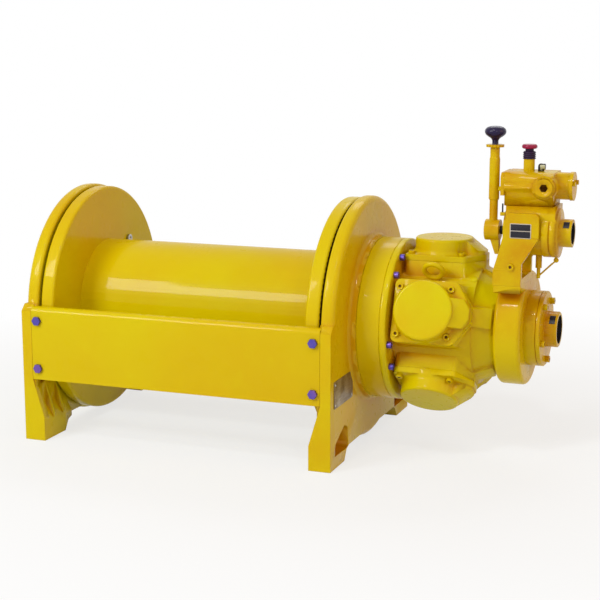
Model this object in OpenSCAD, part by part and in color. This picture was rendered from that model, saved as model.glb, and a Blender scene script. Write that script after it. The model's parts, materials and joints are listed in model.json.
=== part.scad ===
// Air winch: a rope drum between two cast uprights, turned through a planetary
// gear set and a disc brake by a five-cylinder radial piston air motor.
// X runs along the drum axis towards the motor, Y to the back, Z up.
// The origin is on the deck, at the centre of the four foot bolts.

/* [Drum] */
// Diameter of the drum flanges
flange_d = 483; // [470:1:486]
// Thickness of each drum flange
flange_t = 29; // [26:1:34]
// Radius on the rim edges of a flange
flange_round = 6; // [2:0.5:8]
// Outside diameter of the rope barrel
barrel_d = 255; // [249:1:300]
// Wall of the rope barrel
barrel_wall = 9; // [5:0.5:9.5]
// Clear width between the drum flanges
drum_w = 545; // [480:1:700]
// Radius of the seats that the flanges carry their hubs in
hub_seat_r = 108; // [106:0.5:110]

/* [Frame] */
// Height of the drum axis over the deck
axis_h = 257; // [254:1:300]
// Thickness of an upright
upright_t = 27.5; // [25:0.5:36]
// Running gap between a drum flange and its upright
upright_gap = 4.5; // [3:0.5:8]
// Reach of an upright's round guard past the drum flange
guard_over = 4; // [2:0.5:8]
// Rounding on the outer rim of the guard
guard_round = 12; // [6:1:14]
// Running gap between a drum flange and a siderail
rail_gap = 14.5; // [12.5:0.5:22.5]
// Depth of one foot along the side
foot_depth = 84; // [76:1:96]
// Width of one foot along the drum
foot_w = 45; // [40:1:52]
// Height of the foot pad
pad_h = 24; // [20:1:30]
// Height of the arch between the feet
arch_h = 26; // [20:1:32]
// Radius of the four deck bolt holes
deck_hole_r = 9; // [6:0.5:10]

/* [Siderails] */
// Plate thickness of a siderail
rail_t = 6; // [4:0.5:7]
// Height of the lower edge of a siderail
rail_low = 129; // [110:1:140]
// Height of a siderail
rail_h = 150; // [130:1:156]
// Outer radius of the bend along the top
rail_bend = 10; // [8:0.5:12]
// Shank radius of the siderail bolts
rail_bolt_r = 5; // [4:0.5:6]

/* [Gear set] */
// Gear module
gear_m = 4; // [3.8:0.05:4.1]
// Face width of the gears
gear_w = 44; // [30:1:46]
// Radius of the planet pins
pin_r = 12; // [8:0.5:14]
// Running clearance of shafts and pins, on the radius
run_gap = 0.05; // [0.03:0.01:0.08]

/* [Brake] */
// Outside diameter of the brake housing
hub_d = 326; // [318:1:330]
// Length of the brake housing
hub_l = 46; // [44:1:60]
// Thickness of one friction disc
friction_t = 5; // [3:0.5:6]
// Travel of the brake piston when air lifts it
brake_lift = 1.5; // [1:0.1:2]

/* [Air motor] */
// Distance from the motor flange to the plane of the cylinders
cyl_reach = 72; // [71:0.5:76]
// Radius of the cylinder bores
bore_r = 42; // [36:0.5:43]
// Piston stroke
stroke = 40; // [30:1:42]
// Distance of the head joints from the motor axis
head_seat = 130; // [128:1:134]
// Height of a cylinder head over its joint
head_h = 42; // [36:1:48]
// Radius of the round crown of a head
crown_r = 58; // [54:1:60]

/* [Exhaust] */
// Diameter of the rotary valve housing
disc_d = 226; // [220:1:232]
// Length of the rotary valve housing
disc_l = 52; // [50:1:60]
// Bore radius of the exhaust port
exhaust_r = 28; // [24:0.5:30]
// Wall of the exhaust pipe
exhaust_wall = 7; // [4:0.5:9]

/* [Throttle valve] */
// Height of the valve axis over the drum axis
valve_rise = 199; // [195:1:210]
// Radius of the end flange of the valve body
valve_r = 47; // [45:0.5:49]
// Bore radius of the air inlet
inlet_r = 20.5; // [16:0.5:22]
// Height of the lever over its axis, to the top of the knob
lever_len = 200; // [180:1:240]
// Diameter of the lever knob
knob_d = 41; // [34:1:46]
// Travel of the stop button
stop_travel = 5; // [3:0.5:5.5]
// Travel of the collar that unlocks the lever
collar_travel = 6; // [4:0.5:7]

/* [Hidden] */
$fn = 48;
hex_sides = 6;

paint = [0.93, 0.82, 0.05];
zinc = [0.33, 0.30, 0.72];
friction = [0.30, 0.27, 0.24];
steel = [0.62, 0.63, 0.66];
bronze = [0.72, 0.52, 0.28];
cast_grey = [0.45, 0.45, 0.47];
dark = [0.10, 0.09, 0.16];
crimson = [0.75, 0.05, 0.25];

// Overrun of every cut, and the gap between pieces of two bodies that lie face to face
over = 1;
face_gap = 0.3;
// Clearance of a bolt in its hole, on the radius
bolt_gap = 0.3;
// Steps in a quarter round of a turned edge
round_steps = 6;
// Sides in a full turn of the rounded corners of cast outlines
corner_steps = 20;

// Stations along the drum axis, from the middle of the drum
face_x = drum_w / 2;
flange_x = face_x + flange_t;
up_in = flange_x + upright_gap;
up_out = up_in + upright_t;
boss_t = 16.5;
boss_x = up_out + boss_t;
hub_x = boss_x + hub_l;
motor_flange_t = 14;
motor_x = hub_x + motor_flange_t;
cyl_x = motor_x + cyl_reach;
case_tail = 83;
case_x = cyl_x + case_tail;
chest_l = 42;
disc_x = case_x + chest_l;
plate_x = disc_x + disc_l;

flange_r = flange_d / 2;
barrel_r = barrel_d / 2;
barrel_in = barrel_r - barrel_wall;
guard_r = flange_r + guard_over;
front_y = flange_r + rail_gap + rail_t;
hub_r = hub_d / 2;
disc_r = disc_d / 2;

function arc(cx, cy, r, a0, a1, n = round_steps) =
  [for (i = [0:n]) [cx + r * cos(a0 + (a1 - a0) * i / n), cy + r * sin(a0 + (a1 - a0) * i / n)]];

// Profile drawn in Y and Z, drawn out along X from x0 to x1
module plate_yz(x0, x1) {
  translate([x0, 0, 0]) rotate([90, 0, 90]) linear_extrude(x1 - x0) children();
}

// Profile drawn in X and Z, drawn out along Y from y0 to y1
module plate_xz(y0, y1) {
  translate([0, y1, 0]) rotate([90, 0, 0]) linear_extrude(y1 - y0) children();
}

// Solid turned about the drum axis, from points of [radius, x]
module turned(points) {
  translate([0, 0, axis_h]) rotate([0, 90, 0]) rotate_extrude() polygon(points);
}

module bar(x0, x1, r) {
  translate([x0, 0, axis_h]) rotate([0, 90, 0]) cylinder(r = r, h = x1 - x0);
}

module ring(x0, x1, r, bore) {
  difference() {
    bar(x0, x1, r);
    bar(x0 - over, x1 + over, bore);
  }
}

// Children stand on the drum axis with their Z outwards, turned a degrees to the front
module around(x, a) {
  translate([x, 0, axis_h]) rotate([a, 0, 0]) children();
}

// Cap screw with its head over z = 0 and its shank below
module cap_screw(head_r, head_l, shank_r, shank_l) {
  socket_share = 0.5;
  difference() {
    cylinder(r = head_r, h = head_l);
    translate([0, 0, head_l * socket_share])
      cylinder(r = head_r * socket_share, h = head_l, $fn = hex_sides);
  }
  translate([0, 0, -shank_l]) cylinder(r = shank_r, h = shank_l);
}

// Hexagon bolt with its washer face on z = 0 and its shank below
module hex_bolt(head_r, head_l, shank_r, shank_l) {
  cylinder(r = head_r, h = head_l, $fn = hex_sides);
  translate([0, 0, -shank_l]) cylinder(r = shank_r, h = shank_l);
}

// Rope drum
module drum_barrel() {
  color(paint) {
    ring(-face_x, face_x, barrel_r, barrel_in);
    ring(drive_x0, drive_x1, barrel_in, drive_bore_r);
  }
}

// The ring welded inside the barrel that the carrier drives
drive_t = 15;
drive_bore_r = 60;

module drum_flange(anchor) {
  difference() {
    turned(concat(
      [[hub_seat_r, face_x]],
      arc(flange_r - flange_round, face_x + flange_round, flange_round, -90, 0),
      arc(flange_r - flange_round, flange_x - flange_round, flange_round, 0, 90),
      [[hub_seat_r, flange_x]]
    ));
    if (anchor) anchor_hole();
  }
}

anchor_out = 23;
anchor_turn = 39.6;
anchor_y = (barrel_r + anchor_out) * sin(anchor_turn);
anchor_z = (barrel_r + anchor_out) * cos(anchor_turn);
anchor_r = 5;
anchor_head_r = 9;
anchor_head_l = 6;

module anchor_hole() {
  translate([face_x - over, anchor_y, axis_h + anchor_z])
    rotate([0, 90, 0]) cylinder(r = anchor_r, h = flange_t / 2 + over);
}

module drum_flange_outboard() { color(paint) mirror([1, 0, 0]) drum_flange(true); }
module drum_flange_motor() { color(paint) drum_flange(false); }

module rope_anchor_screw() {
  color(steel) translate([-face_x, anchor_y, axis_h + anchor_z])
    rotate([0, 90, 0]) cap_screw(anchor_head_r, anchor_head_l, anchor_r, flange_t / 2);
}

// Outboard end of the drum: a disc with a short shaft in a ball bearing
trunnion_t = 20;
trunnion_in = 5.5;
shaft_r = 30;
shoulder_r = 36;
bearing_w = 25;
bearing_r = 55;
ball_r = 6.35;
ball_track_r = 42.5;
ball_count = 12;
bearing_inset = 3.75;
bearing_x = up_in + bearing_inset;
bearing_end = bearing_x + bearing_w;
cover_seat = 10;
cover_x = bearing_end + cover_seat;
cover_t = 12;
cover_r = 75;
cover_boss_r = 80;
cover_bolt_ring = 66;
cover_bolt_r = 4;
cover_bolt_l = 20;

module drum_trunnion() {
  end_play = 2;
  x0 = flange_x - trunnion_in;
  color(steel) mirror([1, 0, 0]) turned([
    [0, x0 - trunnion_t], [hub_seat_r, x0 - trunnion_t], [hub_seat_r, x0],
    [shoulder_r, x0], [shoulder_r, bearing_x], [shaft_r, bearing_x],
    [shaft_r, cover_x - end_play], [0, cover_x - end_play]
  ]);
}

// Ring of a ball bearing, with its groove for the balls
module race(inner, outer) {
  difference() {
    ring(bearing_x, bearing_end, outer, inner);
    translate([(bearing_x + bearing_end) / 2, 0, axis_h]) rotate([0, 90, 0])
      rotate_extrude() translate([ball_track_r, 0]) circle(r = ball_r + run_gap * 2);
  }
}

race_gap = 4;
module bearing_inner_ring() {
  color(steel) mirror([1, 0, 0]) race(shaft_r, ball_track_r - race_gap);
}
module bearing_outer_ring() {
  color(steel) mirror([1, 0, 0]) race(ball_track_r + race_gap, bearing_r);
}
module bearing_balls() {
  color(steel) for (i = [0:ball_count - 1])
    around(-(bearing_x + bearing_end) / 2, i * 360 / ball_count)
      translate([0, 0, ball_track_r]) sphere(r = ball_r);
}

module bearing_cover() {
  spigot_t = 7.5;
  edge = 3;
  end = cover_x + cover_t;
  color(paint) mirror([1, 0, 0]) difference() {
    turned([
      [0, end], [cover_r - edge, end], [cover_r, end - edge], [cover_r, cover_x],
      [bearing_r - run_gap, cover_x], [bearing_r - run_gap, bearing_end],
      [bearing_r - spigot_t, bearing_end], [bearing_r - spigot_t, cover_x], [0, cover_x]
    ]);
    cover_bolt_places() cylinder(r = cover_bolt_r + bolt_gap, h = (cover_t + over) * 2, center = true);
  }
}

module cover_bolt_places() {
  for (a = [45:90:315]) around(cover_x + cover_t, a)
    translate([0, 0, cover_bolt_ring]) rotate([0, 90, 0]) children();
}

module bearing_cover_bolts() {
  color(zinc) mirror([1, 0, 0]) cover_bolt_places()
    hex_bolt(cover_bolt_r * 2, cover_bolt_r, cover_bolt_r, cover_bolt_l);
}

// Uprights: one casting with a round guard, a straight front and back and two feet
shoulder_low = 13;
shoulder_drop = 13;
foot_ramp = 28;
arch_end = front_y - foot_depth - foot_ramp;
foot_step = 14;
foot_flare_h = 84;
wall_t = 18;
web_skin = 9;
rib_t = 9;
lug_t = 12;
lug_w = 22;
lug_end_gap = 6;
rail_lap = 5.5;
rail_side_gap = 0.5;
foot_wall = 9.5;
scoop_h = 50;
scoop_step = 12;
slope_low = 16;
slope_high = 46;
deck_x = up_out - foot_w / 2;
deck_y = front_y - foot_depth / 2;

// Front half of the outline, from the middle of the arch round to the top
module upright_outline() {
  inner = front_y - foot_depth;
  shoulder_z = axis_h + shoulder_low;
  points = concat(
    [[0, arch_h], [arch_end, arch_h], [arch_end + foot_step, arch_h - foot_step / 3],
     [inner - foot_step / 3, foot_step / 2], [inner, 0], [front_y, 0], [front_y, shoulder_z],
     [front_y - shoulder_low, shoulder_z + shoulder_drop]],
    [[0, shoulder_z + shoulder_drop]]
  );
  for (side = [0, 1]) mirror([side, 0]) polygon(points);
}

module upright_body() {
  // Guard plate with its rounded rim
  turned(concat(
    [[0, up_in]],
    arc(guard_r - flange_round, up_in + flange_round, flange_round, -90, 0),
    arc(guard_r - guard_round, up_out - guard_round, guard_round, 0, 90),
    [[0, up_out]]
  ));
  plate_yz(up_in, up_out) upright_outline();
  for (side = [-1, 1]) {
    // Foot, sloping inwards at its top, and drawn on above the end of the arch
    intersection() {
      plate_xz(-front_y, front_y)
        polygon([[up_out - foot_w, 0], [up_out, 0], [up_out, pad_h + slope_high],
                 [up_in, pad_h + slope_high], [up_out - foot_w, pad_h + slope_low]]);
      plate_yz(up_out - foot_w, up_out) intersection() {
        upright_outline();
        mirror([side > 0 ? 0 : 1, 0]) translate([arch_end, 0]) square([front_y - arch_end, guard_r]);
      }
    }
    // Front wall and two ribs that flare down to the foot
    for (rib = [[front_y - wall_t / 2, wall_t], [deck_y, rib_t],
                [front_y - foot_depth + rib_t / 2, rib_t]])
      plate_xz(side * rib[0] - rib[1] / 2, side * rib[0] + rib[1] / 2)
        polygon([[up_out - foot_w, 0], [up_out, 0], [up_out, foot_flare_h + pad_h],
                 [up_in, foot_flare_h + pad_h], [up_out - foot_w, pad_h + slope_low + rib_t]]);
    // Lug behind the end of the siderail
    y_lug = side * (front_y - rail_t - lug_t / 2);
    translate([up_in - lug_w, y_lug - lug_t / 2, rail_low + lug_end_gap])
      cube([lug_w + over, lug_t, rail_h - rail_bend * 2 - lug_end_gap]);
  }
}

// Pockets cast into the drum side of the leg, between slanting ribs
module leg_pockets() {
  low = pad_h + foot_flare_h;
  y0 = front_y - wall_t;
  y1 = front_y - foot_depth;
  depth = upright_t - web_skin;
  plate_yz(up_in - over, up_in + depth) for (side = [0, 1]) mirror([side, 0]) {
    polygon([[y0, low + rib_t], [y0, rail_low + lug_end_gap], [deck_y + rib_t / 2, low + rib_t]]);
    polygon([[deck_y - rib_t, low + rib_t], [y0 - rib_t, rail_low + lug_end_gap * 3],
             [y1 + rib_t, rail_low + lug_end_gap * 3], [y1 + rib_t, low + rib_t]]);
    polygon([[y1 - rib_t, low + rib_t], [y1 - rib_t, rail_low + rib_t],
             [y1 - foot_depth / 2, low]]);
  }
}

// Sloping recess in the outer face over the foot bolt
module foot_scoop() {
  top = pad_h + scoop_h;
  back = up_out - foot_w + foot_wall;
  inner = arch_end + rib_t;
  intersection() {
    plate_xz(-front_y, front_y)
      polygon([[up_out + over, top + over], [up_out + over, pad_h], [back, pad_h],
               [back, pad_h + scoop_step], [up_out, top]]);
    plate_yz(back - over, up_out + over * 2) for (side = [0, 1]) mirror([side, 0])
      offset(r = rib_t) offset(delta = -rib_t)
        polygon([[front_y - wall_t, -top], [front_y - wall_t * 1.6, pad_h * 2],
                 [front_y - foot_depth, top], [inner, top - rib_t],
                 [inner, pad_h + scoop_step], [front_y - foot_depth, -top]]);
  }
}

module upright(bore) {
  difference() {
    union() {
      upright_body();
      children();
    }
    bar(up_in - over, boss_x + over, bore);
    leg_pockets();
    foot_scoop();
    for (side = [-1, 1]) {
      // Deck bolt hole
      translate([deck_x, side * deck_y, -over])
        cylinder(r = deck_hole_r, h = pad_h + rib_t + over);
      // Rebate that the siderail end lies in
      translate([up_in - lug_w - over, side > 0 ? front_y - rail_t : -front_y - over,
                 rail_low - rail_side_gap])
        cube([lug_w + rail_lap + rail_side_gap + over, rail_t + over, front_y]);
      // Notch for the lip of the siderail
      translate([up_in - over, side > 0 ? front_y - rail_lip - rail_side_gap : -front_y,
                 rail_low + rail_h - rail_bend - rail_side_gap])
        cube([rail_lap + rail_side_gap + over, rail_lip + rail_side_gap, front_y]);
      // Threaded holes of the siderail bolts
      rail_bolt_places(side) cylinder(r = rail_bolt_r, h = lug_t * 4, center = true);
    }
  }
}

module upright_outboard() {
  color(paint) mirror([1, 0, 0]) difference() {
    upright(bearing_r) bar(up_out - over, cover_x, cover_boss_r);
    cover_bolt_places() translate([0, 0, -cover_bolt_l])
      cylinder(r = cover_bolt_r, h = cover_bolt_l);
  }
}

tube_r = 90;
tube_flange_r = 100;
tube_flange_t = 10;
boss_lip = 3;
boss_r = hub_r + boss_lip;
boss_fillet = 8;
hub_bolt_in = 11;
hub_bolt_ring = hub_r - hub_bolt_in;
hub_bolt_r = 4;
hub_bolt_depth = 12;
hub_bolt_spread = 9.25;

module upright_motor() {
  color(paint) difference() {
    upright(tube_r) turned(concat(
      [[0, up_out - over], [boss_r + boss_fillet, up_out - over]],
      arc(boss_r + boss_fillet, up_out + boss_fillet, boss_fillet, 270, 180),
      [[boss_r, boss_x], [0, boss_x]]
    ));
    bar(boss_x - tube_flange_t, boss_x + over, tube_flange_r);
    hub_bolt_places(boss_x) translate([0, 0, -hub_bolt_depth])
      cylinder(r = hub_bolt_r, h = hub_bolt_depth + over);
  }
}

// Siderails: plates bent in along the top, bolted to lugs on the uprights
rail_lip = 17;
rail_hole_up = 23.5;
rail_hole_down = 27.5;
rail_hole_in = 8;
rail_head_r = 9.5;
rail_head_l = 6;
rail_shank_l = 17;

module rail_bolt_places(side) {
  for (z = [rail_low + rail_hole_up, rail_low + rail_h - rail_hole_down])
    translate([up_in - rail_hole_in, side * front_y, z]) rotate([side * -90, 0, 0]) children();
}

module siderail(side) {
  x1 = up_in + rail_lap;
  top = rail_low + rail_h;
  difference() {
    translate([-x1, 0, 0]) rotate([90, 0, 90]) linear_extrude(x1 * 2) mirror([side > 0 ? 1 : 0, 0])
      polygon(concat(
        [[-front_y, rail_low]],
        arc(-front_y + rail_bend, top - rail_bend, rail_bend, 180, 90),
        [[-front_y + rail_lip, top], [-front_y + rail_lip, top - rail_t]],
        arc(-front_y + rail_bend, top - rail_bend, rail_bend - rail_t, 90, 180),
        [[-front_y + rail_t, rail_low]]
      ));
    for (end = [0, 1]) mirror([end, 0, 0]) rail_bolt_places(side)
      cylinder(r = rail_bolt_r + bolt_gap, h = rail_t * 4, center = true);
  }
}

module siderail_front() { color(paint) siderail(-1); }
module siderail_rear() { color(paint) siderail(1); }

module siderail_bolts() {
  color(zinc) for (side = [-1, 1], end = [0, 1]) mirror([end, 0, 0]) rail_bolt_places(side)
    hex_bolt(rail_head_r, rail_head_l, rail_bolt_r, rail_shank_l);
}

// Planetary gear set inside the motor end of the drum
sun_teeth = 12;
planet_teeth = 18;
planet_count = 3;
ring_teeth = sun_teeth + planet_teeth * 2;
pressure = 25;
addendum_share = 0.85;
dedendum_share = 1.15;
flank_steps = 4;
flank_gap = 0.15;
planet_ring = gear_m * (sun_teeth + planet_teeth) / 2;
web_t = 16;
web_set = 16.5;
web_x1 = face_x - web_set;
web_x0 = web_x1 - web_t;
mesh_gap = 4;
mesh_x1 = web_x0 - mesh_gap;
mesh_x0 = mesh_x1 - gear_w;
carrier_t = 24;
carrier_gap = 3;
carrier_x1 = mesh_x0 - carrier_gap;
carrier_x0 = carrier_x1 - carrier_t;
carrier_r = 85;
drive_x1 = carrier_x0;
drive_x0 = drive_x1 - drive_t;
ring_r = hub_seat_r - face_gap;
sun_shaft_r = 14;
housing_wall = 16;
seal_r = 30;

function inv(a) = tan(a) * 180 / PI - a;

// Half the angle of a tooth at radius r, for z teeth whose flanks stand g off the pitch line
function tooth_half(z, r, g) =
  let (pitch_r = gear_m * z / 2, base_r = pitch_r * cos(pressure))
  90 / z - g * 180 / PI / pitch_r + inv(pressure) - (r > base_r ? inv(acos(base_r / r)) : 0);

function tooth_side(z, r0, r1, g) =
  let (base_r = gear_m * z / 2 * cos(pressure), rs = max(r0, base_r))
  concat(
    r0 < base_r ? [[r0, tooth_half(z, base_r, g)]] : [],
    [for (i = [0:flank_steps]) let (r = rs + (r1 - rs) * i / flank_steps) [r, tooth_half(z, r, g)]]
  );

function reversed(list) = [for (i = [len(list) - 1:-1:0]) list[i]];

// Outline of z involute teeth between the radii r0 and r1, with a tooth on angle zero
function teeth(z, r0, r1, g) =
  let (side = tooth_side(z, r0, r1, g))
  [for (k = [0:z - 1], p = concat([for (s = side) [s[0], -s[1]]], reversed(side)))
    let (a = k * 360 / z + p[1]) [p[0] * cos(a), p[0] * sin(a)]];

module gear_2d(z) {
  r = gear_m * z / 2;
  polygon(teeth(z, r - gear_m * dedendum_share, r + gear_m * addendum_share, flank_gap));
}

module sun_gear() {
  sleeve_in = 30;
  shaft_start = 2;
  color(steel) {
    translate([0, 0, axis_h]) plate_yz(mesh_x0, mesh_x1) gear_2d(sun_teeth);
    bar(mesh_x1, hub_x + motor_flange_t / 2 + sleeve_in - shaft_start, sun_shaft_r);
  }
}

module planet_gear(k) {
  color(steel) around(0, 0) plate_yz(mesh_x0, mesh_x1)
    rotate(90 + k * 360 / planet_count) translate([planet_ring, 0])
      rotate(-90 - k * 360 / planet_count) difference() {
        gear_2d(planet_teeth);
        circle(r = pin_r + run_gap);
      }
}

module planet_gear_1() { planet_gear(0); }
module planet_gear_2() { planet_gear(1); }
module planet_gear_3() { planet_gear(2); }

module ring_gear() {
  r = gear_m * ring_teeth / 2;
  land = 3;
  color(steel) translate([0, 0, axis_h]) plate_yz(mesh_x0 - land, web_x0) difference() {
    circle(r = ring_r);
    rotate(180 / ring_teeth)
      polygon(teeth(ring_teeth, r - gear_m * addendum_share, r + gear_m * dedendum_share, -flank_gap));
  }
}

module planet_carrier() {
  pin_end = 2;
  color(steel) {
    difference() {
      bar(carrier_x0, carrier_x1, carrier_r);
      planet_pin_places() cylinder(r = pin_r, h = carrier_t * 4, center = true);
    }
    planet_pin_places() cylinder(r = pin_r, h = mesh_x1 + pin_end - carrier_x0);
  }
}

module planet_pin_places() {
  for (k = [0:planet_count - 1]) around(carrier_x0, k * 360 / planet_count)
    translate([0, 0, planet_ring]) rotate([0, 90, 0]) children();
}

// Tube from the upright into the drum: it carries the ring gear and the drum bush
module gear_housing() {
  bolt_land = 6;
  color(cast_grey) turned([
    [seal_r, web_x0], [ring_r, web_x0], [ring_r, web_x1],
    [tube_r - run_gap, web_x1], [tube_r - run_gap, boss_x - tube_flange_t],
    [tube_flange_r - run_gap, boss_x - tube_flange_t], [tube_flange_r - run_gap, boss_x],
    [tube_r - housing_wall, boss_x], [tube_r - housing_wall, web_x0 + bolt_land],
    [seal_r, web_x0 + bolt_land]
  ]);
}

bush_inset = 3.5;
bush_end = 1.5;
module drum_bush() { color(bronze) ring(face_x + bush_inset, flange_x - bush_end, hub_seat_r, tube_r); }

// Disc brake in its housing between the upright and the motor
brake_wall = 10;
brake_bore_r = 50;
brake_shell = 23;
brake_r = hub_r - brake_shell;
lug_out = 4;
lug_half = 12;
lug_count = 5;
steel_t = 3;
brake_hub_r = 40;
disc_inset = 10;
brake_disc_r = brake_r - disc_inset;
piston_t = 12;
piston_bore_r = 46;
spring_in_r = 60;
spring_out_r = brake_disc_r - disc_inset;
spring_t = 2.2;
brake_x0 = boss_x + brake_wall;
disc_1_x = brake_x0 + face_gap;
steel_x = disc_1_x + friction_t + face_gap;
disc_2_x = steel_x + steel_t + face_gap;
piston_x = disc_2_x + friction_t + face_gap;
spring_x = piston_x + piston_t + brake_lift + face_gap;

module hub_bolt_places(x) {
  for (k = [0:cyl_count - 1], s = [-1, 1])
    around(x, cyl_step / 2 + k * cyl_step + s * hub_bolt_spread)
      translate([0, 0, hub_bolt_ring]) rotate([0, 90, 0]) children();
}

module brake_lugs_2d(gap) {
  for (k = [0:lug_count - 1]) rotate(k * 360 / lug_count) translate([-lug_half - gap, 0])
    square([(lug_half + gap) * 2, brake_r + lug_out + gap]);
}

module brake_housing() {
  edge = 1.5;
  color(paint) difference() {
    turned([
      [brake_bore_r, boss_x], [hub_r - edge, boss_x], [hub_r, boss_x + edge],
      [hub_r, hub_x - edge], [hub_r - edge, hub_x], [brake_r, hub_x],
      [brake_r, brake_x0], [brake_bore_r, brake_x0]
    ]);
    translate([0, 0, axis_h]) plate_yz(brake_x0, hub_x + over) brake_lugs_2d(face_gap);
    hub_bolt_places(boss_x) cylinder(r = hub_bolt_r + bolt_gap, h = hub_l * 3, center = true);
  }
}

module brake_plate() {
  color(steel) translate([0, 0, axis_h]) plate_yz(steel_x, steel_x + steel_t) difference() {
    union() {
      circle(brake_r - face_gap);
      brake_lugs_2d(0);
    }
    circle(piston_bore_r);
  }
}

spline_count = 8;
spline_depth = 4;
spline_half = 5;
module hub_2d(gap) {
  circle(brake_hub_r - spline_depth + gap);
  for (k = [0:spline_count - 1]) rotate(k * 360 / spline_count) translate([-spline_half - gap, 0])
    square([(spline_half + gap) * 2, brake_hub_r + gap]);
}

module brake_hub() {
  x0 = boss_x + brake_wall / 5;
  x1 = piston_x + piston_t / 2;
  color(steel) translate([0, 0, axis_h]) plate_yz(x0, x1) difference() {
    hub_2d(0);
    circle(sun_shaft_r);
  }
}

module brake_discs() {
  color(friction) translate([0, 0, axis_h]) for (x = [disc_1_x, disc_2_x])
    plate_yz(x, x + friction_t) difference() {
      circle(brake_disc_r);
      hub_2d(bolt_gap);
    }
}

module brake_piston() {
  skirt = 4;
  color(steel) turned([
    [piston_bore_r, piston_x], [brake_disc_r, piston_x], [brake_disc_r, piston_x + skirt],
    [brake_r - run_gap, piston_x + skirt], [brake_r - run_gap, piston_x + piston_t],
    [piston_bore_r, piston_x + piston_t]
  ]);
}

// Two disc springs, back to back against the motor flange
module brake_spring() {
  mid = (spring_x + hub_x) / 2;
  rise = mid - spring_x - spring_t;
  color(steel) for (s = [0, 1]) translate([mid, 0, 0]) mirror([s, 0, 0]) turned([
    [spring_in_r, rise], [spring_in_r, rise + spring_t],
    [spring_out_r, spring_t], [spring_out_r, 0]
  ]);
}

// Air motor, with its cylinders in a star round the axis and the first one on top
cyl_count = 5;
cyl_step = 360 / cyl_count;
module cylinder_places() {
  for (k = [0:cyl_count - 1]) around(cyl_x, k * cyl_step) children();
}

case_drop = 12;
case_r = head_seat - case_drop;
cavity_r = 60;
cavity_end = 2;
cavity_half = bore_r + cavity_end;
journal_r = 25;
crank_bearing_r = 40;
crank_bearing_w = 24;
front_lip = 6;
rotor_r = 45;
rotor_end = 9;
rotor_x0 = case_x - rotor_end / 3;
rotor_x1 = plate_x - rotor_end;
chest_step = 6;
chest_r = case_r - chest_step;
chest_taper = 20;
chest_end_r = chest_r - chest_taper;
head_flange_t = 12;
pad_wall = 20;
pad_half = bore_r + pad_wall;
pad_left = 66;
pad_right = 56;
lobe_reach = 88;
lobe_half = 14;
pad_round = 12;

// Joint face of a head: a square with a lobe on the valve side for the air duct
module pad_2d(inset) {
  offset(r = pad_round, $fn = corner_steps) offset(delta = -pad_round - inset)
    polygon([[-pad_left, -pad_half], [pad_right, -pad_half], [lobe_reach, -lobe_half],
             [lobe_reach, lobe_half], [pad_right, pad_half], [-pad_left, pad_half]]);
}

module duct(half) {
  root_share = 0.6;
  root = disc_r * root_share;
  translate([0, half, 0]) rotate([90, 0, 0]) linear_extrude(half * 2)
    polygon([[pad_right / 2, root], [pad_right / 2, head_seat - head_flange_t],
             [lobe_reach - pad_round, head_seat - head_flange_t],
             [disc_x - cyl_x - pad_round / 2, disc_r - pad_round],
             [disc_x - cyl_x - pad_round / 2, root]]);
}

module motor_case() {
  bar(motor_x - over, case_x, case_r);
  turned([
    [0, case_x - over], [chest_r, case_x - over], [chest_r, case_x],
    [chest_end_r, disc_x], [0, disc_x]
  ]);
  cylinder_places() {
    translate([0, 0, cavity_r]) linear_extrude(head_seat - cavity_r) pad_2d(0);
    duct(lobe_half + pad_round / 2);
  }
  around(cyl_x, cyl_step / 2) cylinder(r = eye_collar_r, h = eye_seat);
}

module motor_housing() {
  edge = 1.5;
  color(paint) difference() {
    union() {
      turned([
        [0, hub_x], [hub_r - edge, hub_x], [hub_r, hub_x + edge],
        [hub_r, motor_x - edge * 2], [hub_r - edge * 2, motor_x], [0, motor_x]
      ]);
      motor_case();
    }
    cylinder_places() cylinder(r = bore_r, h = head_seat + over);
    bar(cyl_x - cavity_half, cyl_x + cavity_half, cavity_r);
    bar(hub_x - over, cyl_x, seal_r);
    bar(hub_x + front_lip, cyl_x, crank_bearing_r);
    bar(cyl_x, rotor_x0, crank_bearing_r);
    bar(rotor_x0, disc_x + over, rotor_r + run_gap);
    head_bolt_places() cylinder(r = head_bolt_r, h = head_bolt_l * 2, center = true);
    hub_bolt_places(motor_x) cylinder(r = hub_bolt_r + bolt_gap, h = hub_l, center = true);
    around(cyl_x, cyl_step / 2) translate([0, 0, eye_seat - eye_thread])
      cylinder(r = eye_thread_r, h = eye_seat);
  }
}

hub_head_r = 6.5;
hub_head_l = 9;
module motor_bolts() {
  reach = motor_x - boss_x + hub_bolt_depth;
  color(zinc) hub_bolt_places(motor_x) cap_screw(hub_head_r, hub_head_l, hub_bolt_r, reach);
}

// Crankshaft: two journals, two webs and one crank pin at the top
crank_throw = stroke / 2;
crank_pin_r = 20;
crank_web_r = 34;
crank_web_t = 14;
crank_pin_half = 21;
stub_r = 12;

module crankshaft() {
  x0 = hub_x + front_lip + face_gap;
  web_0 = cyl_x - crank_pin_half - crank_web_t;
  web_1 = cyl_x + crank_pin_half;
  color(steel) difference() {
    union() {
      bar(x0, web_0 + over, journal_r);
      bar(web_1 + crank_web_t - over, rotor_x0 - face_gap, journal_r);
      bar(rotor_x0 - over, rotor_x0 + rotor_end, stub_r);
      for (x = [web_0, web_1]) {
        bar(x, x + crank_web_t, crank_web_r);
        translate([0, 0, crank_throw]) bar(x, x + crank_web_t, crank_web_r - crank_throw / 2);
        translate([0, 0, -crank_throw]) bar(x, x + crank_web_t, crank_web_r);
      }
      translate([0, 0, crank_throw])
        bar(cyl_x - crank_pin_half - over, cyl_x + crank_pin_half + over, crank_pin_r);
    }
    bar(x0 - over, hub_x + motor_flange_t / 2 + housing_wall * 2, sun_shaft_r);
  }
}

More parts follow.
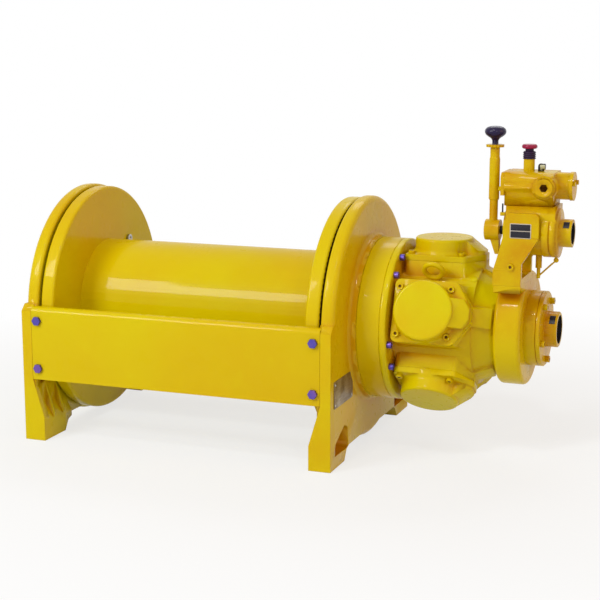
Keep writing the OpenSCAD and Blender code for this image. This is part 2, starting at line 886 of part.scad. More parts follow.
module crank_bearings() {
  left = hub_x + front_lip + face_gap;
  right = rotor_x0 - face_gap - crank_bearing_w;
  color(bronze) for (x = [left, right])
    ring(x, x + crank_bearing_w, crank_bearing_r, journal_r + run_gap);
}

// Cylinder heads: a turned cap over the bore, with a sloping air passage to its lobe
cap_round = 5;
cap_foot = 5;
cap_foot_h = 9;
chamber_h = 4;
head_bolt_x0 = 55;
head_bolt_x1 = 46;
head_bolt_y = 46;
head_bolt_r = 4;
head_bolt_l = 30;
head_bolt_head_r = 6.5;
head_bolt_head_l = 6;

module cylinder_head() {
  difference() {
    union() {
      linear_extrude(head_flange_t) pad_2d(0);
      rotate_extrude() polygon(concat(
        [[0, 0], [crown_r + cap_foot, 0], [crown_r + cap_foot, head_flange_t],
         [crown_r + cap_foot / 4, head_flange_t + cap_foot_h / 2],
         [crown_r, head_flange_t + cap_foot_h]],
        arc(crown_r - cap_round, head_h - cap_round, cap_round, 0, 90),
        [[0, head_h]]
      ));
      intersection() {
        linear_extrude(head_h) pad_2d(pad_round / 4);
        translate([0, lobe_half * 2, 0]) rotate([90, 0, 0]) linear_extrude(lobe_half * 4)
          polygon([[0, 0], [0, head_h - over], [crown_r - cap_round * 2, head_h - over],
                   [lobe_reach - lobe_half, head_flange_t + cap_foot_h],
                   [lobe_reach, head_flange_t + cap_foot_h / 2], [lobe_reach, 0]]);
      }
    }
    translate([0, 0, -over]) cylinder(r = bore_r, h = chamber_h + over);
    head_bolt_spots() {
      cylinder(r = head_bolt_r + bolt_gap, h = head_h * 2, center = true);
      translate([0, 0, head_flange_t]) cylinder(r = head_bolt_head_r + over, h = head_h);
    }
  }
}

module head_bolt_spots() {
  for (p = [[-head_bolt_x0, -head_bolt_y], [-head_bolt_x0, head_bolt_y],
            [head_bolt_x1, -head_bolt_y], [head_bolt_x1, head_bolt_y]])
    translate([p[0], p[1], 0]) children();
}

module head_bolt_places() {
  cylinder_places() translate([0, 0, head_seat]) head_bolt_spots() children();
}

module cylinder_heads() {
  color(paint) cylinder_places() translate([0, 0, head_seat]) cylinder_head();
}

module head_bolts() {
  color(paint) head_bolt_places() translate([0, 0, head_flange_t])
    cap_screw(head_bolt_head_r, head_bolt_head_l, head_bolt_r, head_bolt_l);
}

// Pistons: each at its own height for the crank at the top, on a slipper rod
piston_l = 30;
crown_clear = 2;
rod_l = 78;
rod_half = 9;
foot_half = 15;
foot_t = 6;
foot_clear = 3;
ring_t = 3;
ring_depth = 2;
ring_pitch = 6;
piston_top = head_seat - crown_clear;

// Travel below top dead centre at crank angle a from the cylinder
function drop(a) =
  let (e = crank_throw, l = rod_l)
  e + l - (e * cos(a) + sqrt(l * l - pow(e * sin(a), 2)));

module piston(k) {
  top = piston_top - drop(k * cyl_step);
  foot = crank_throw + crank_pin_r + foot_clear + stroke - drop(k * cyl_step);
  color(steel) around(cyl_x, k * cyl_step) difference() {
    union() {
      translate([0, 0, top - piston_l]) cylinder(r = bore_r - run_gap, h = piston_l);
      translate([-rod_half, -rod_half, foot]) cube([rod_half * 2, rod_half * 2, top - ring_pitch - foot]);
      translate([-foot_half, -foot_half, foot]) cube([foot_half * 2, foot_half * 2, foot_t]);
    }
    for (i = [1, 2]) translate([0, 0, top - i * ring_pitch]) difference() {
      cylinder(r = bore_r + over, h = ring_t);
      cylinder(r = bore_r - ring_depth, h = ring_t);
    }
  }
}

module piston_1() { piston(0); }
module piston_2() { piston(1); }
module piston_3() { piston(2); }
module piston_4() { piston(3); }
module piston_5() { piston(4); }

// Lifting eye between the top and the front cylinder
eye_thread = 14;
eye_thread_r = 6;
eye_ring_r = 18;
eye_wire_r = 5;
eye_collar_r = 8;
eye_collar_t = 4;
eye_rise = 25;
eye_side = 0.9;
// The eye stands where the room between two cylinders takes its collar
eye_seat = (pad_half + eye_collar_r * cos(cyl_step / 2) + eye_side) / sin(cyl_step / 2);

module lifting_eye() {
  color(paint) around(cyl_x, cyl_step / 2) {
    translate([0, 0, eye_seat - eye_thread]) cylinder(r = eye_thread_r, h = eye_thread);
    translate([0, 0, eye_seat]) cylinder(r = eye_collar_r, h = eye_collar_t);
    translate([0, 0, eye_seat + eye_rise]) rotate([90, 0, 0])
      rotate_extrude() translate([eye_ring_r, 0]) circle(r = eye_wire_r);
  }
}

// Rotary valve and its housing
rotor_bore = 26;
module rotary_valve() {
  window_w = 30;
  window_h = 26;
  drive = rotor_end;
  color(steel) difference() {
    bar(rotor_x0 + face_gap, rotor_x1, rotor_r);
    bar(rotor_x0 + drive * 2, rotor_x1 + over, rotor_bore);
    bar(rotor_x0 - over, rotor_x0 + drive, stub_r);
    around(rotor_x0 + drive * 2 + face_gap, 0)
      translate([0, -window_h, 0]) cube([window_w, window_h * 2, rotor_r + over]);
  }
}

disc_round = 8;
pad_front = disc_r;
pad_drop = 14;
pad_top = disc_r - 13;
valve_y = -60;
bracket_half = disc_r + valve_y;
bracket_t = 10;
foot_h = 14;
foot_side = 2;
stack_r = 74;
stack_l = 31;
pipe_l = 25;
stack_groove = 1.5;
port_bolt_ring = 61;
port_bolt_count = 5;
port_bolt_r = 4;
port_bolt_depth = 18;
port_head_r = 6.5;
port_head_l = 8;
stack_x = plate_x + stack_l;
pipe_x = stack_x + pipe_l;
foot_z = axis_h + pad_top;

module exhaust_housing() {
  color(paint) difference() {
    union() {
      turned(concat(
        [[0, disc_x]],
        arc(disc_r - disc_round, disc_x + disc_round, disc_round, -90, 0),
        arc(disc_r - disc_round, plate_x - disc_round, disc_round, 0, 90),
        [[0, plate_x]]
      ));
      translate([disc_x, -pad_front, foot_z - pad_drop])
        cube([disc_l, bracket_half * 2, pad_drop]);
    }
    translate([disc_x - over, -pad_front - over, foot_z])
      cube([disc_l + over * 2, bracket_half * 2 + over + face_gap, disc_r]);
    bar(disc_x - over, rotor_x1 + face_gap, rotor_r + run_gap);
    bar(disc_x, plate_x + over, exhaust_r + stack_groove);
    port_bolt_places(plate_x) cylinder(r = port_bolt_r, h = port_bolt_depth * 2, center = true);
  }
}

module port_bolt_places(x) {
  for (k = [0:port_bolt_count - 1]) around(x, (k + 1 / 2) * 360 / port_bolt_count)
    translate([0, 0, port_bolt_ring]) rotate([0, 90, 0]) children();
}

module exhaust_flange() {
  pipe_r = exhaust_r + exhaust_wall;
  joint = stack_l * 0.7;
  color(paint) difference() {
    turned([
      [exhaust_r, plate_x], [stack_r, plate_x], [stack_r, plate_x + joint],
      [stack_r - stack_groove, plate_x + joint], [stack_r - stack_groove, plate_x + joint + stack_groove],
      [stack_r, plate_x + joint + stack_groove], [stack_r, stack_x - stack_groove],
      [stack_r - stack_groove, stack_x], [pipe_r + stack_groove, stack_x],
      [pipe_r, stack_x + stack_groove], [pipe_r, pipe_x - stack_groove],
      [pipe_r - stack_groove, pipe_x], [exhaust_r, pipe_x]
    ]);
    port_bolt_places(plate_x) cylinder(r = port_bolt_r + bolt_gap, h = stack_l * 4, center = true);
  }
}

module exhaust_bolts() {
  color(paint) port_bolt_places(stack_x)
    cap_screw(port_head_r, port_head_l, port_bolt_r, stack_l + port_bolt_depth - over);
}

// Bracket that stands on the valve housing and carries the throttle valve
valve_z = axis_h + valve_rise;
foot_x0 = disc_x - foot_side;
neck_in = 7;
plate_left = 19;
plate_top_x = 31;
plate_top = 40;
plate_round = 8;

module bracket_plate_2d() {
  x1 = plate_x;
  offset(r = plate_round) offset(delta = -plate_round)
    polygon([[foot_x0, foot_z - plate_round * 2], [x1, foot_z - plate_round * 2],
             [x1, foot_z + foot_h * 3], [x1 + plate_top_x, valve_z - plate_round],
             [x1 + plate_top_x, valve_z + plate_top], [foot_x0 + plate_left + neck_in / 2, valve_z + plate_top],
             [foot_x0 + plate_left, valve_z], [foot_x0 + neck_in, valve_z - valve_r],
             [foot_x0, foot_z + foot_h * 2]]);
}

module valve_bracket() {
  y0 = -disc_r;
  y1 = y0 + bracket_half * 2;
  color(paint) difference() {
    union() {
      for (y = [y0, y1 - bracket_t]) intersection() {
        plate_xz(y, y + bracket_t) bracket_plate_2d();
        translate([0, y0, foot_z]) cube([pipe_x, bracket_half * 2, lever_len * 2]);
      }
      translate([foot_x0, y0, foot_z]) cube([disc_l + foot_side, bracket_half * 2, foot_h]);
    }
    bracket_screw_places() cylinder(r = screw_r + bolt_gap, h = bracket_t * 4, center = true);
  }
}

screw_r = 4;
screw_head_r = 6.5;
screw_head_l = 4;
bracket_screw_x = 34;
bracket_screw_z = 37;
module bracket_screw_places() {
  translate([foot_x0 + bracket_screw_x, -disc_r, foot_z + bracket_screw_z])
    rotate([90, 0, 0]) children();
}

// Throttle valve: a body on the valve axis with the inlet pipe at its motor end
body_inset = 15;
body_x0 = foot_x0 + body_inset;
flange_step = 3;
body_x1 = plate_x + plate_top_x + flange_step;
body_l = 28;
inlet_x0 = body_x1 + body_l;
inlet_l = 24;
inlet_wall = 6;
saddle_half = 38;
saddle_h = 52;
spool_r = 24;
spool_l = 56;
spool_x1 = body_x1;
spool_x0 = spool_x1 - spool_l;
spool_shaft_r = 8;
body_half = bracket_half - bracket_t;

// Round bar on the valve axis
module valve_bar(x0, x1, r) {
  translate([x0, valve_y, valve_z]) rotate([0, 90, 0]) cylinder(r = r, h = x1 - x0);
}

module valve_body() {
  groove = 2;
  color(paint) difference() {
    union() {
      intersection() {
        valve_bar(body_x0, body_x1 + over, valve_r - groove);
        translate([body_x0, valve_y - body_half, valve_z - valve_r])
          cube([inlet_x0 - body_x0, body_half * 2, valve_r * 2]);
      }
      valve_bar(body_x1, body_x1 + body_l * 0.45, valve_r);
      valve_bar(body_x1, inlet_x0, valve_r - groove);
      valve_bar(body_x1 + body_l * 0.55, inlet_x0, valve_r);
      valve_bar(inlet_x0 - over, inlet_x0 + inlet_l, inlet_r + inlet_wall);
      translate([body_x0 + groove * 2, valve_y - saddle_half, valve_z])
        cube([inlet_x0 - body_x0 - groove * 4, saddle_half * 2, saddle_h]);
    }
    translate([drain_x, valve_y, valve_z - valve_r]) cylinder(r = drain_r, h = drain_in);
    valve_bar(spool_x0, spool_x1 + face_gap, spool_r + run_gap);
    valve_bar(spool_x1, inlet_x0 + inlet_l + over, inlet_r);
    valve_bar(body_x0 - over, spool_x1, spool_shaft_r + run_gap);
  }
}

module throttle_spool() {
  slot = 16;
  color(steel) difference() {
    union() {
      valve_bar(spool_x0 + face_gap, spool_x1, spool_r);
      valve_bar(hub_x0 + face_gap, spool_x0 + over, spool_shaft_r);
    }
    valve_bar(spool_x0 + spool_l / 2, spool_x1 + over, spool_r - inlet_wall);
    translate([spool_x0 + spool_l / 2, valve_y - slot / 2, valve_z - spool_r - over])
      cube([slot, slot, spool_r]);
  }
}

// Valve head on the body: a pilot valve block with covers at both ends
head_x0 = body_x0;
head_l = 92;
pilot_l = 118;
pilot_x1 = head_x0 + pilot_l;
pilot_r = 26;
head_half = 36;
ledge_half = 46;
top_half = 34;
shoulder_half = 41;
head_z0 = valve_z + saddle_h;
pilot_rise = 37;
pilot_z = head_z0 + pilot_rise;
head_top = pilot_z + pilot_r;
end_cover_t = 7;
plug_in = 77;
plug_x = head_x0 + plug_in;
plug_boss_r = 23;
plug_boss_l = 52;

module valve_head() {
  under = 12;
  edge = 7;
  lip = 5;
  color(paint) difference() {
    union() {
      translate([0, valve_y, 0]) plate_yz(head_x0, head_x0 + head_l) polygon([
        [-head_half, head_z0], [head_half, head_z0], [head_half, pilot_z - under],
        [ledge_half - edge / 2, pilot_z - under / 2], [ledge_half, pilot_z - lip / 2],
        [ledge_half - edge / 2, pilot_z + lip], [shoulder_half, pilot_z + edge],
        [shoulder_half, head_top - edge], [top_half, head_top],
        [-top_half, head_top], [-shoulder_half, head_top - edge],
        [-shoulder_half, pilot_z + edge], [-ledge_half + edge / 2, pilot_z + lip],
        [-ledge_half, pilot_z - lip / 2], [-ledge_half + edge / 2, pilot_z - under / 2],
        [-head_half, pilot_z - under]
      ]);
      translate([head_x0 + over, valve_y, pilot_z]) rotate([0, 90, 0])
        cylinder(r = pilot_r - pilot_step, h = pilot_l - over);
      translate([plug_x, valve_y, pilot_z]) rotate([90, 0, 0])
        cylinder(r = plug_boss_r, h = plug_boss_l);
    }
    translate([plug_x, valve_y, pilot_z]) rotate([90, 0, 0])
      cylinder(r = plug_r, h = plug_boss_l + over);
    translate([head_x0 - over, valve_y, pilot_z]) rotate([0, 90, 0])
      cylinder(r = pilot_bore_r, h = pilot_l + over * 2);
    cover_screw_places() cylinder(r = cover_screw_r, h = cover_screw_l * 2, center = true);
    translate([stop_x, valve_y, pilot_z]) cylinder(r = stop_stem_r, h = head_top);
  }
}

pilot_bore_r = 11;
pilot_step = 0.5;
plug_r = 14;
plug_flange_r = 17;
plug_flange_t = 3;
plug_l = 20;
plug_hex_r = 8;
elbow_x = 61;
elbow_r = 6;
elbow_h = 9;
elbow_out = 8;

module port_fittings() {
  color(paint) translate([plug_x, valve_y - plug_boss_l, pilot_z]) rotate([90, 0, 0]) difference() {
    union() {
      cylinder(r = plug_flange_r, h = plug_flange_t);
      translate([0, 0, -plug_l]) cylinder(r = plug_r, h = plug_l);
    }
    cylinder(r = plug_hex_r, h = plug_l, center = true, $fn = hex_sides);
  }
  color(dark) translate([head_x0 + elbow_x, valve_y, head_top]) {
    cylinder(r = elbow_r, h = elbow_h);
    translate([0, 0, elbow_h]) sphere(r = elbow_r);
    translate([0, 0, elbow_h]) rotate([0, 90, 0]) cylinder(r = elbow_r - pilot_step, h = elbow_out);
  }
}

module valve_end_covers() {
  low = 8;
  inset = 1;
  color(paint) difference() {
    union() {
      translate([0, valve_y, 0]) plate_yz(head_x0 - end_cover_t, head_x0)
        polygon([[-shoulder_half, pilot_z - pilot_r + low], [shoulder_half, pilot_z - pilot_r + low],
                 [shoulder_half, head_top - low], [top_half, head_top - inset],
                 [-top_half, head_top - inset], [-shoulder_half, head_top - low]]);
      translate([pilot_x1, valve_y, pilot_z]) rotate([0, 90, 0])
        cylinder(r = pilot_r + inset, h = end_cover_t);
    }
    cover_screw_places() cylinder(r = cover_screw_r, h = cover_screw_l * 2, center = true);
  }
}

cover_screw_r = 2.5;
cover_screw_head = 4.5;
cover_screw_l = 12;
cover_screw_half = 17;
cover_screw_drop = 6;

module cover_screw_places() {
  for (s = [-1, 1]) {
    translate([pilot_x1 + end_cover_t, valve_y + s * cover_screw_half, pilot_z + cover_screw_drop])
      rotate([0, 90, 0]) children();
    translate([head_x0 - end_cover_t, valve_y + s * cover_screw_half * 2, pilot_z - cover_screw_drop])
      rotate([0, -90, 0]) children();
  }
}

module valve_screws() {
  color(zinc) {
    bracket_screw_places() cap_screw(screw_head_r, screw_head_l, screw_r, bracket_t);
    cover_screw_places()
      hex_bolt(cover_screw_head, cover_screw_head, cover_screw_r, cover_screw_l);
  }
}

// Stop valve on top of the head, with its red button
stop_in = 38;
stop_x = head_x0 + stop_in;
stop_stem_r = 10.5;
stop_stem_h = 23;
stop_stem_in = 12;
sleeve_r = 12;
sleeve_h = 14;
sleeve_rib = 1;
sleeve_ribs = 4;
button_r = 14.5;
button_neck_r = 8;
button_t = 8;
button_gap = stop_travel + face_gap;

module stop_guard() {
  color(paint) translate([stop_x, valve_y, head_top - stop_stem_in]) difference() {
    cylinder(r = stop_stem_r, h = stop_stem_h + stop_stem_in);
    translate([0, 0, stop_stem_in]) cylinder(r = button_neck_r + run_gap, h = stop_stem_h + over);
  }
}

module stop_sleeve() {
  groove_shares = [[0, 0], [0, 0.5], [1, 0.5], [1, 1]];
  color(dark) translate([stop_x, valve_y, head_top + stop_stem_h]) rotate_extrude()
    polygon(concat(
      [[button_neck_r + run_gap, 0]],
      [for (i = [0:sleeve_ribs - 1], p = groove_shares)
        [sleeve_r - p[0] * sleeve_rib, (i + p[1]) * sleeve_h / sleeve_ribs]],
      [[button_neck_r + run_gap, sleeve_h]]
    ));
}

module stop_button() {
  z = head_top + stop_stem_h + sleeve_h + button_gap;
  color(crimson) translate([stop_x, valve_y, 0]) {
    translate([0, 0, z - sleeve_h - button_gap - button_t])
      cylinder(r = button_neck_r, h = sleeve_h + button_gap + button_t + over);
    translate([0, 0, z]) rotate_extrude() polygon(concat(
      [[0, 0], [button_r - button_t / 4, 0], [button_r, button_t / 4]],
      arc(button_r - button_t / 2, button_t / 2, button_t / 2, 0, 90),
      [[0, button_t]]
    ));
  }
}

// Lever on the end of the throttle spool
lever_hub_l = 28;
lever_gap = 14;
hub_x0 = body_x0 - lever_gap - lever_hub_l;
lever_hub_r = 20;
lever_x = hub_x0 + lever_hub_l / 2;
rod_r = 8;
grip_r = 10;
rod_neck_r = 9;
rod_start = 16;
grip_low_share = 0.28;
grip_high_share = 0.68;
rod_top = lever_len - 37;
collar_r = 17;
collar_h = 5;
collar_gap = 0.05;
knob_neck_r = 6;
knob_h = 29;

module lever_hub() {
  tail = 26;
  tail_half = 8;
  color(paint) difference() {
    union() {
      valve_bar(hub_x0, hub_x0 + lever_hub_l, lever_hub_r);
      plate_xz(valve_y - tail_half, valve_y + tail_half)
        polygon([[hub_x0 + tail_half / 2, valve_z], [hub_x0 + lever_hub_l - over, valve_z],
                 [hub_x0 + lever_hub_l - over, valve_z - lever_hub_r - tail],
                 [hub_x0 + lever_hub_l - tail_half, valve_z - lever_hub_r - tail]]);
    }
    valve_bar(hub_x0 + face_gap, hub_x0 + lever_hub_l + over, spool_shaft_r);
    translate([lever_x, valve_y, valve_z + rod_start]) cylinder(r = rod_r, h = lever_len);
  }
}

module lever_rod() {
  low = lever_len * grip_low_share;
  high = lever_len * grip_high_share;
  blend = 4;
  color(paint) translate([lever_x, valve_y, valve_z]) rotate_extrude() polygon([
    [0, rod_start], [rod_r, rod_start], [rod_r, low], [grip_r, low + blend],
    [grip_r, high], [rod_neck_r, high + blend], [rod_neck_r, rod_top - collar_h],
    [knob_neck_r, rod_top - collar_h], [knob_neck_r, lever_len - knob_h], [0, lever_len - knob_h]
  ]);
}

module lever_collar() {
  notch_count = 16;
  notch_r = 1.2;
  color(paint) translate([lever_x, valve_y, valve_z + rod_top - collar_h + face_gap]) difference() {
    cylinder(r = collar_r, h = collar_h - face_gap);
    translate([0, 0, -over]) cylinder(r = knob_neck_r + collar_gap, h = collar_h * 2);
    for (i = [0:notch_count - 1]) rotate(i * 360 / notch_count)
      translate([collar_r, 0, -over]) cylinder(r = notch_r, h = collar_h * 2);
  }
}

module lever_knob() {
  r = knob_d / 2;
  h = knob_h - collar_travel / 3;
  neck_share = 0.2;
  waist_shares = [0.62, 0.33];
  belly_share = 0.66;
  belly_start = -38;
  belly_steps = 8;
  color(dark) translate([lever_x, valve_y, valve_z + lever_len - knob_h]) rotate_extrude() polygon(concat(
    [[0, 0], [knob_neck_r + over, 0], [knob_neck_r + over, h * neck_share],
     [r * waist_shares[0], h * waist_shares[1]]],
    [for (i = [0:belly_steps]) let (a = belly_start + (90 - belly_start) * i / belly_steps)
      [r * cos(a), h * belly_share + h * (1 - belly_share) * sin(a)]],
    [[0, h]]
  ));
}

// Drain under the throttle valve, with its pull rod
drain_inset = 62;
drain_x = body_x0 + drain_inset;
drain_in = 10;
drain_r = 6;
drain_l = 22;
drain_tip_r = 3.5;
drain_tip_l = 20;
pull_r = 1.6;
pull_l = 37;
pull_a = 45;

module drain_cock() {
  z = valve_z - valve_r;
  color(paint) translate([drain_x, valve_y, z]) {
    translate([0, 0, -drain_l]) cylinder(r = drain_r, h = drain_l + drain_in);
    translate([0, 0, -drain_l - drain_tip_l]) cylinder(r = drain_tip_r, h = drain_tip_l);
    translate([0, 0, -drain_l - drain_tip_l + drain_tip_r]) rotate([0, pull_a, 0])
      cylinder(r = pull_r, h = pull_l);
  }
}

upright_outboard();
upright_motor();
siderail_front();
siderail_rear();
siderail_bolts();
drum_barrel();
drum_flange_outboard();
drum_flange_motor();
rope_anchor_screw();
drum_trunnion();
bearing_inner_ring();
bearing_outer_ring();
bearing_balls();
bearing_cover();
bearing_cover_bolts();
gear_housing();
drum_bush();
ring_gear();
planet_carrier();
planet_gear_1();
planet_gear_2();
planet_gear_3();
sun_gear();
brake_housing();
brake_plate();
brake_hub();
brake_discs();
brake_piston();
brake_spring();
motor_housing();
motor_bolts();
crankshaft();
crank_bearings();
cylinder_heads();
head_bolts();
piston_1();
piston_2();
piston_3();
piston_4();
piston_5();
lifting_eye();
rotary_valve();
exhaust_housing();
exhaust_flange();
exhaust_bolts();
valve_bracket();
valve_body();
valve_head();
valve_end_covers();
valve_screws();
port_fittings();
throttle_spool();
lever_hub();
lever_rod();
lever_collar();
lever_knob();
stop_guard();
stop_sleeve();
stop_button();
drain_cock();
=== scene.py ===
"""Looks of an air winch: a yellow rope drum between two cast uprights, with a radial air motor."""

import json
import math

import bmesh
import bpy
from mathutils import Matrix, Vector


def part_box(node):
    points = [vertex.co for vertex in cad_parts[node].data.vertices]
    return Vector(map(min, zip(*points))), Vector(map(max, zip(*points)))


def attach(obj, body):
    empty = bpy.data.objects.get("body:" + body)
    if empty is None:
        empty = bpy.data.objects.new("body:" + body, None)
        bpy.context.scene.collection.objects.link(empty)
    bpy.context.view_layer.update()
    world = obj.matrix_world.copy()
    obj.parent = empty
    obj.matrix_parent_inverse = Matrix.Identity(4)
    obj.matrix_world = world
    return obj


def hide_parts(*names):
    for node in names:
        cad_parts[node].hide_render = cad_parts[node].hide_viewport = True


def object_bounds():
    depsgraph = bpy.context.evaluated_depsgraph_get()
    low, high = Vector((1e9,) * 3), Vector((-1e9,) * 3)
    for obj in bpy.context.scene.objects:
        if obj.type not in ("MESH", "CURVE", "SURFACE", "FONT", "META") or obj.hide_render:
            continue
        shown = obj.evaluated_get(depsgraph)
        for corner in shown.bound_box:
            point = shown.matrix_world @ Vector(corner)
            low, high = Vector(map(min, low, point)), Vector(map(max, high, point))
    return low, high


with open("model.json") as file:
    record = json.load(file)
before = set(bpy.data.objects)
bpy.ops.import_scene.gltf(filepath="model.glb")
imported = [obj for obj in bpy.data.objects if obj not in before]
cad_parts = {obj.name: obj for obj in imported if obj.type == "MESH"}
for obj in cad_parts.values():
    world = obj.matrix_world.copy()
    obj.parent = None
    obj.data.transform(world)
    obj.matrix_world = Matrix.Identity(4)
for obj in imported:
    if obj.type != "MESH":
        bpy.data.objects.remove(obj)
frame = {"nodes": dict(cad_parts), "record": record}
cad_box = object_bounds()


# Uprights: two iron castings, one at each end of the drum, with a round guard and two feet.
# They are primed, sprayed with a thick coat of glossy yellow and bolted to the deck.
# The coat is a little uneven and chips on the edges; its corners and hollows are coloured orange
# as painted shade.
nodes = frame["nodes"]
body_of_node = {
    name: body
    for body, names in frame["record"]["behaviour"]["bodies"].items()
    for name in names
}
PAINT_YELLOW = (0.68, 0.58, 0.001, 1)
PAINT_DEEP = (0.67, 0.46, 0.001, 1)
PAINT_PALE = (0.70, 0.60, 0.003, 1)
PAINT_CREVICE = (0.46, 0.22, 0.001, 1)
# Orange painted shade for hollows and inner corners.
PAINT_HOLLOW_SHADE = (0.58, 0.27, 0.001, 1)
FRAME_TONES = (PAINT_YELLOW, PAINT_DEEP)
PAINT_GLOSS = (0.24, 0.38)
PAINT_SPECULAR = 0.04
PAINT_COAT = 0.17
PAINT_COAT_ROUGHNESS = 0.05
PEEL_SCALE = 260
SAND_SCALE = 70
BROAD_DETAIL = 3
FINE_DETAIL = 5
FINE_TO_BROAD = 11
FLAT_TURN = 0.96
FULL_TURN = 0.78
CHIP_SCALE = 90
CHIP_DETAIL = 6
CHIP_RANGE = (0.54, 0.68)
# Reach and range of the painted shade in hollows.
SHADE_REACH = 0.07
SHADE_RANGE = (0.95, 0.45)
MERGE_GAP = 2e-6
SMOOTH_ANGLE = math.radians(32)


def build_patches():
    """Soft patches of two scales: how thick the coat lies, and how clean it is."""
    group = bpy.data.node_groups.new("coat_patches", "ShaderNodeTree")
    face = group.interface
    face.new_socket("Vector", in_out="INPUT", socket_type="NodeSocketVector")
    size = face.new_socket("Patch size", in_out="INPUT", socket_type="NodeSocketFloat")
    size.default_value = 4
    face.new_socket("Broad", in_out="OUTPUT", socket_type="NodeSocketFloat")
    face.new_socket("Fine", in_out="OUTPUT", socket_type="NodeSocketFloat")
    new, link = group.nodes.new, group.links.new
    start, end = new("NodeGroupInput"), new("NodeGroupOutput")
    broad, fine = new("ShaderNodeTexNoise"), new("ShaderNodeTexNoise")
    broad.inputs["Detail"].default_value = BROAD_DETAIL
    fine.inputs["Detail"].default_value = FINE_DETAIL
    denser = new("ShaderNodeMath")
    denser.operation = "MULTIPLY"
    denser.inputs[1].default_value = FINE_TO_BROAD
    link(start.outputs["Patch size"], broad.inputs["Scale"])
    link(start.outputs["Patch size"], denser.inputs[0])
    link(denser.outputs[0], fine.inputs["Scale"])
    for noise, name in ((broad, "Broad"), (fine, "Fine")):
        link(start.outputs["Vector"], noise.inputs["Vector"])
        link(noise.outputs["Fac"], end.inputs[name])
    return group


def build_edges():
    """A broken-up mask of the edges, a painted-shade mask of hollows and inner corners, and a
    rounded normal.
    """
    group = bpy.data.node_groups.new("edge_wear_and_shade", "ShaderNodeTree")
    face = group.interface
    face.new_socket("Vector", in_out="INPUT", socket_type="NodeSocketVector")
    radius = face.new_socket("Radius", in_out="INPUT", socket_type="NodeSocketFloat")
    radius.default_value = 0.0012
    amount = face.new_socket("Amount", in_out="INPUT", socket_type="NodeSocketFloat")
    amount.default_value = 0.5
    face.new_socket("Worn", in_out="OUTPUT", socket_type="NodeSocketFloat")
    face.new_socket("Painted shade", in_out="OUTPUT", socket_type="NodeSocketFloat")
    face.new_socket("Normal", in_out="OUTPUT", socket_type="NodeSocketVector")
    new, link = group.nodes.new, group.links.new
    start, end = new("NodeGroupInput"), new("NodeGroupOutput")
    rounded, geometry = new("ShaderNodeBevel"), new("ShaderNodeNewGeometry")
    rounded.samples = 4
    facing = new("ShaderNodeVectorMath")
    facing.operation = "DOT_PRODUCT"
    turned = new("ShaderNodeMapRange")
    turned.inputs["From Min"].default_value = FLAT_TURN
    turned.inputs["From Max"].default_value = FULL_TURN
    breakup = new("ShaderNodeTexNoise")
    breakup.inputs["Scale"].default_value = CHIP_SCALE
    breakup.inputs["Detail"].default_value = CHIP_DETAIL
    chipped = new("ShaderNodeMapRange")
    chipped.inputs["From Min"].default_value = CHIP_RANGE[0]
    chipped.inputs["From Max"].default_value = CHIP_RANGE[1]
    # Painted shade: local occlusion turned into a mask of hollows and inner corners.
    openness, hollow_shade = new("ShaderNodeAmbientOcclusion"), new("ShaderNodeMapRange")
    openness.only_local = True
    openness.samples = 8
    openness.inputs["Distance"].default_value = SHADE_REACH
    hollow_shade.inputs["From Min"].default_value = SHADE_RANGE[0]
    hollow_shade.inputs["From Max"].default_value = SHADE_RANGE[1]
    both, scaled = new("ShaderNodeMath"), new("ShaderNodeMath")
    both.operation = scaled.operation = "MULTIPLY"
    link(start.outputs["Radius"], rounded.inputs["Radius"])
    link(rounded.outputs["Normal"], facing.inputs[0])
    link(geometry.outputs["True Normal"], facing.inputs[1])
    link(facing.outputs["Value"], turned.inputs["Value"])
    link(start.outputs["Vector"], breakup.inputs["Vector"])
    link(breakup.outputs["Fac"], chipped.inputs["Value"])
    link(turned.outputs["Result"], both.inputs[0])
    link(chipped.outputs["Result"], both.inputs[1])
    link(both.outputs[0], scaled.inputs[0])
    link(start.outputs["Amount"], scaled.inputs[1])
    link(scaled.outputs[0], end.inputs["Worn"])
    link(openness.outputs["AO"], hollow_shade.inputs["Value"])
    link(hollow_shade.outputs["Result"], end.inputs["Painted shade"])
    link(rounded.outputs["Normal"], end.inputs["Normal"])
    return group


COAT_PATCHES = build_patches()
EDGE_WEAR_AND_SHADE = build_edges()


def group_node(material, group, **values):
    """Places a shared effect in a material and feeds it the piece's own coordinates."""
    tree = material.node_tree
    node = tree.nodes.new("ShaderNodeGroup")
    node.node_tree = group
    place = tree.nodes.new("ShaderNodeTexCoord")
    tree.links.new(place.outputs["Object"], node.inputs["Vector"])
    for name, value in values.items():
        node.inputs[name.replace("_", " ")].default_value = value
    return node


def blend_colour(material, fac, first, second):
    """A colour mix; first and second are colours or sockets, fac a number or a socket."""
    tree = material.node_tree
    mix = tree.nodes.new("ShaderNodeMix")
    mix.data_type = "RGBA"
    for socket, value in ((0, fac), (6, first), (7, second)):
        if isinstance(value, bpy.types.NodeSocket):
            tree.links.new(value, mix.inputs[socket])
        else:
            mix.inputs[socket].default_value = value
    return mix.outputs[2]


def span(material, source, low, high, to_low=0.0, to_high=1.0):
    """Maps a mask from low..high to to_low..to_high."""
    tree = material.node_tree
    node = tree.nodes.new("ShaderNodeMapRange")
    tree.links.new(source, node.inputs["Value"])
    for name, value in (
        ("From Min", low),
        ("From Max", high),
        ("To Min", to_low),
        ("To Max", to_high),
    ):
        node.inputs[name].default_value = value
    return node.outputs["Result"]


def raised(material, height, strength, distance, normal=None):
    """A bump of that height, over the rounded normal if one is given."""
    tree = material.node_tree
    bump = tree.nodes.new("ShaderNodeBump")
    bump.inputs["Strength"].default_value = strength
    bump.inputs["Distance"].default_value = distance
    tree.links.new(height, bump.inputs["Height"])
    if normal is not None:
        tree.links.new(normal, bump.inputs["Normal"])
    return bump.outputs["Normal"]


def new_material(name, colour):
    """A material with its shader and the call that links its sockets."""
    material = bpy.data.materials.new(name)
    material.use_nodes = True
    material.diffuse_color = colour
    shader = material.node_tree.nodes["Principled BSDF"]
    return material, shader, material.node_tree.links.new


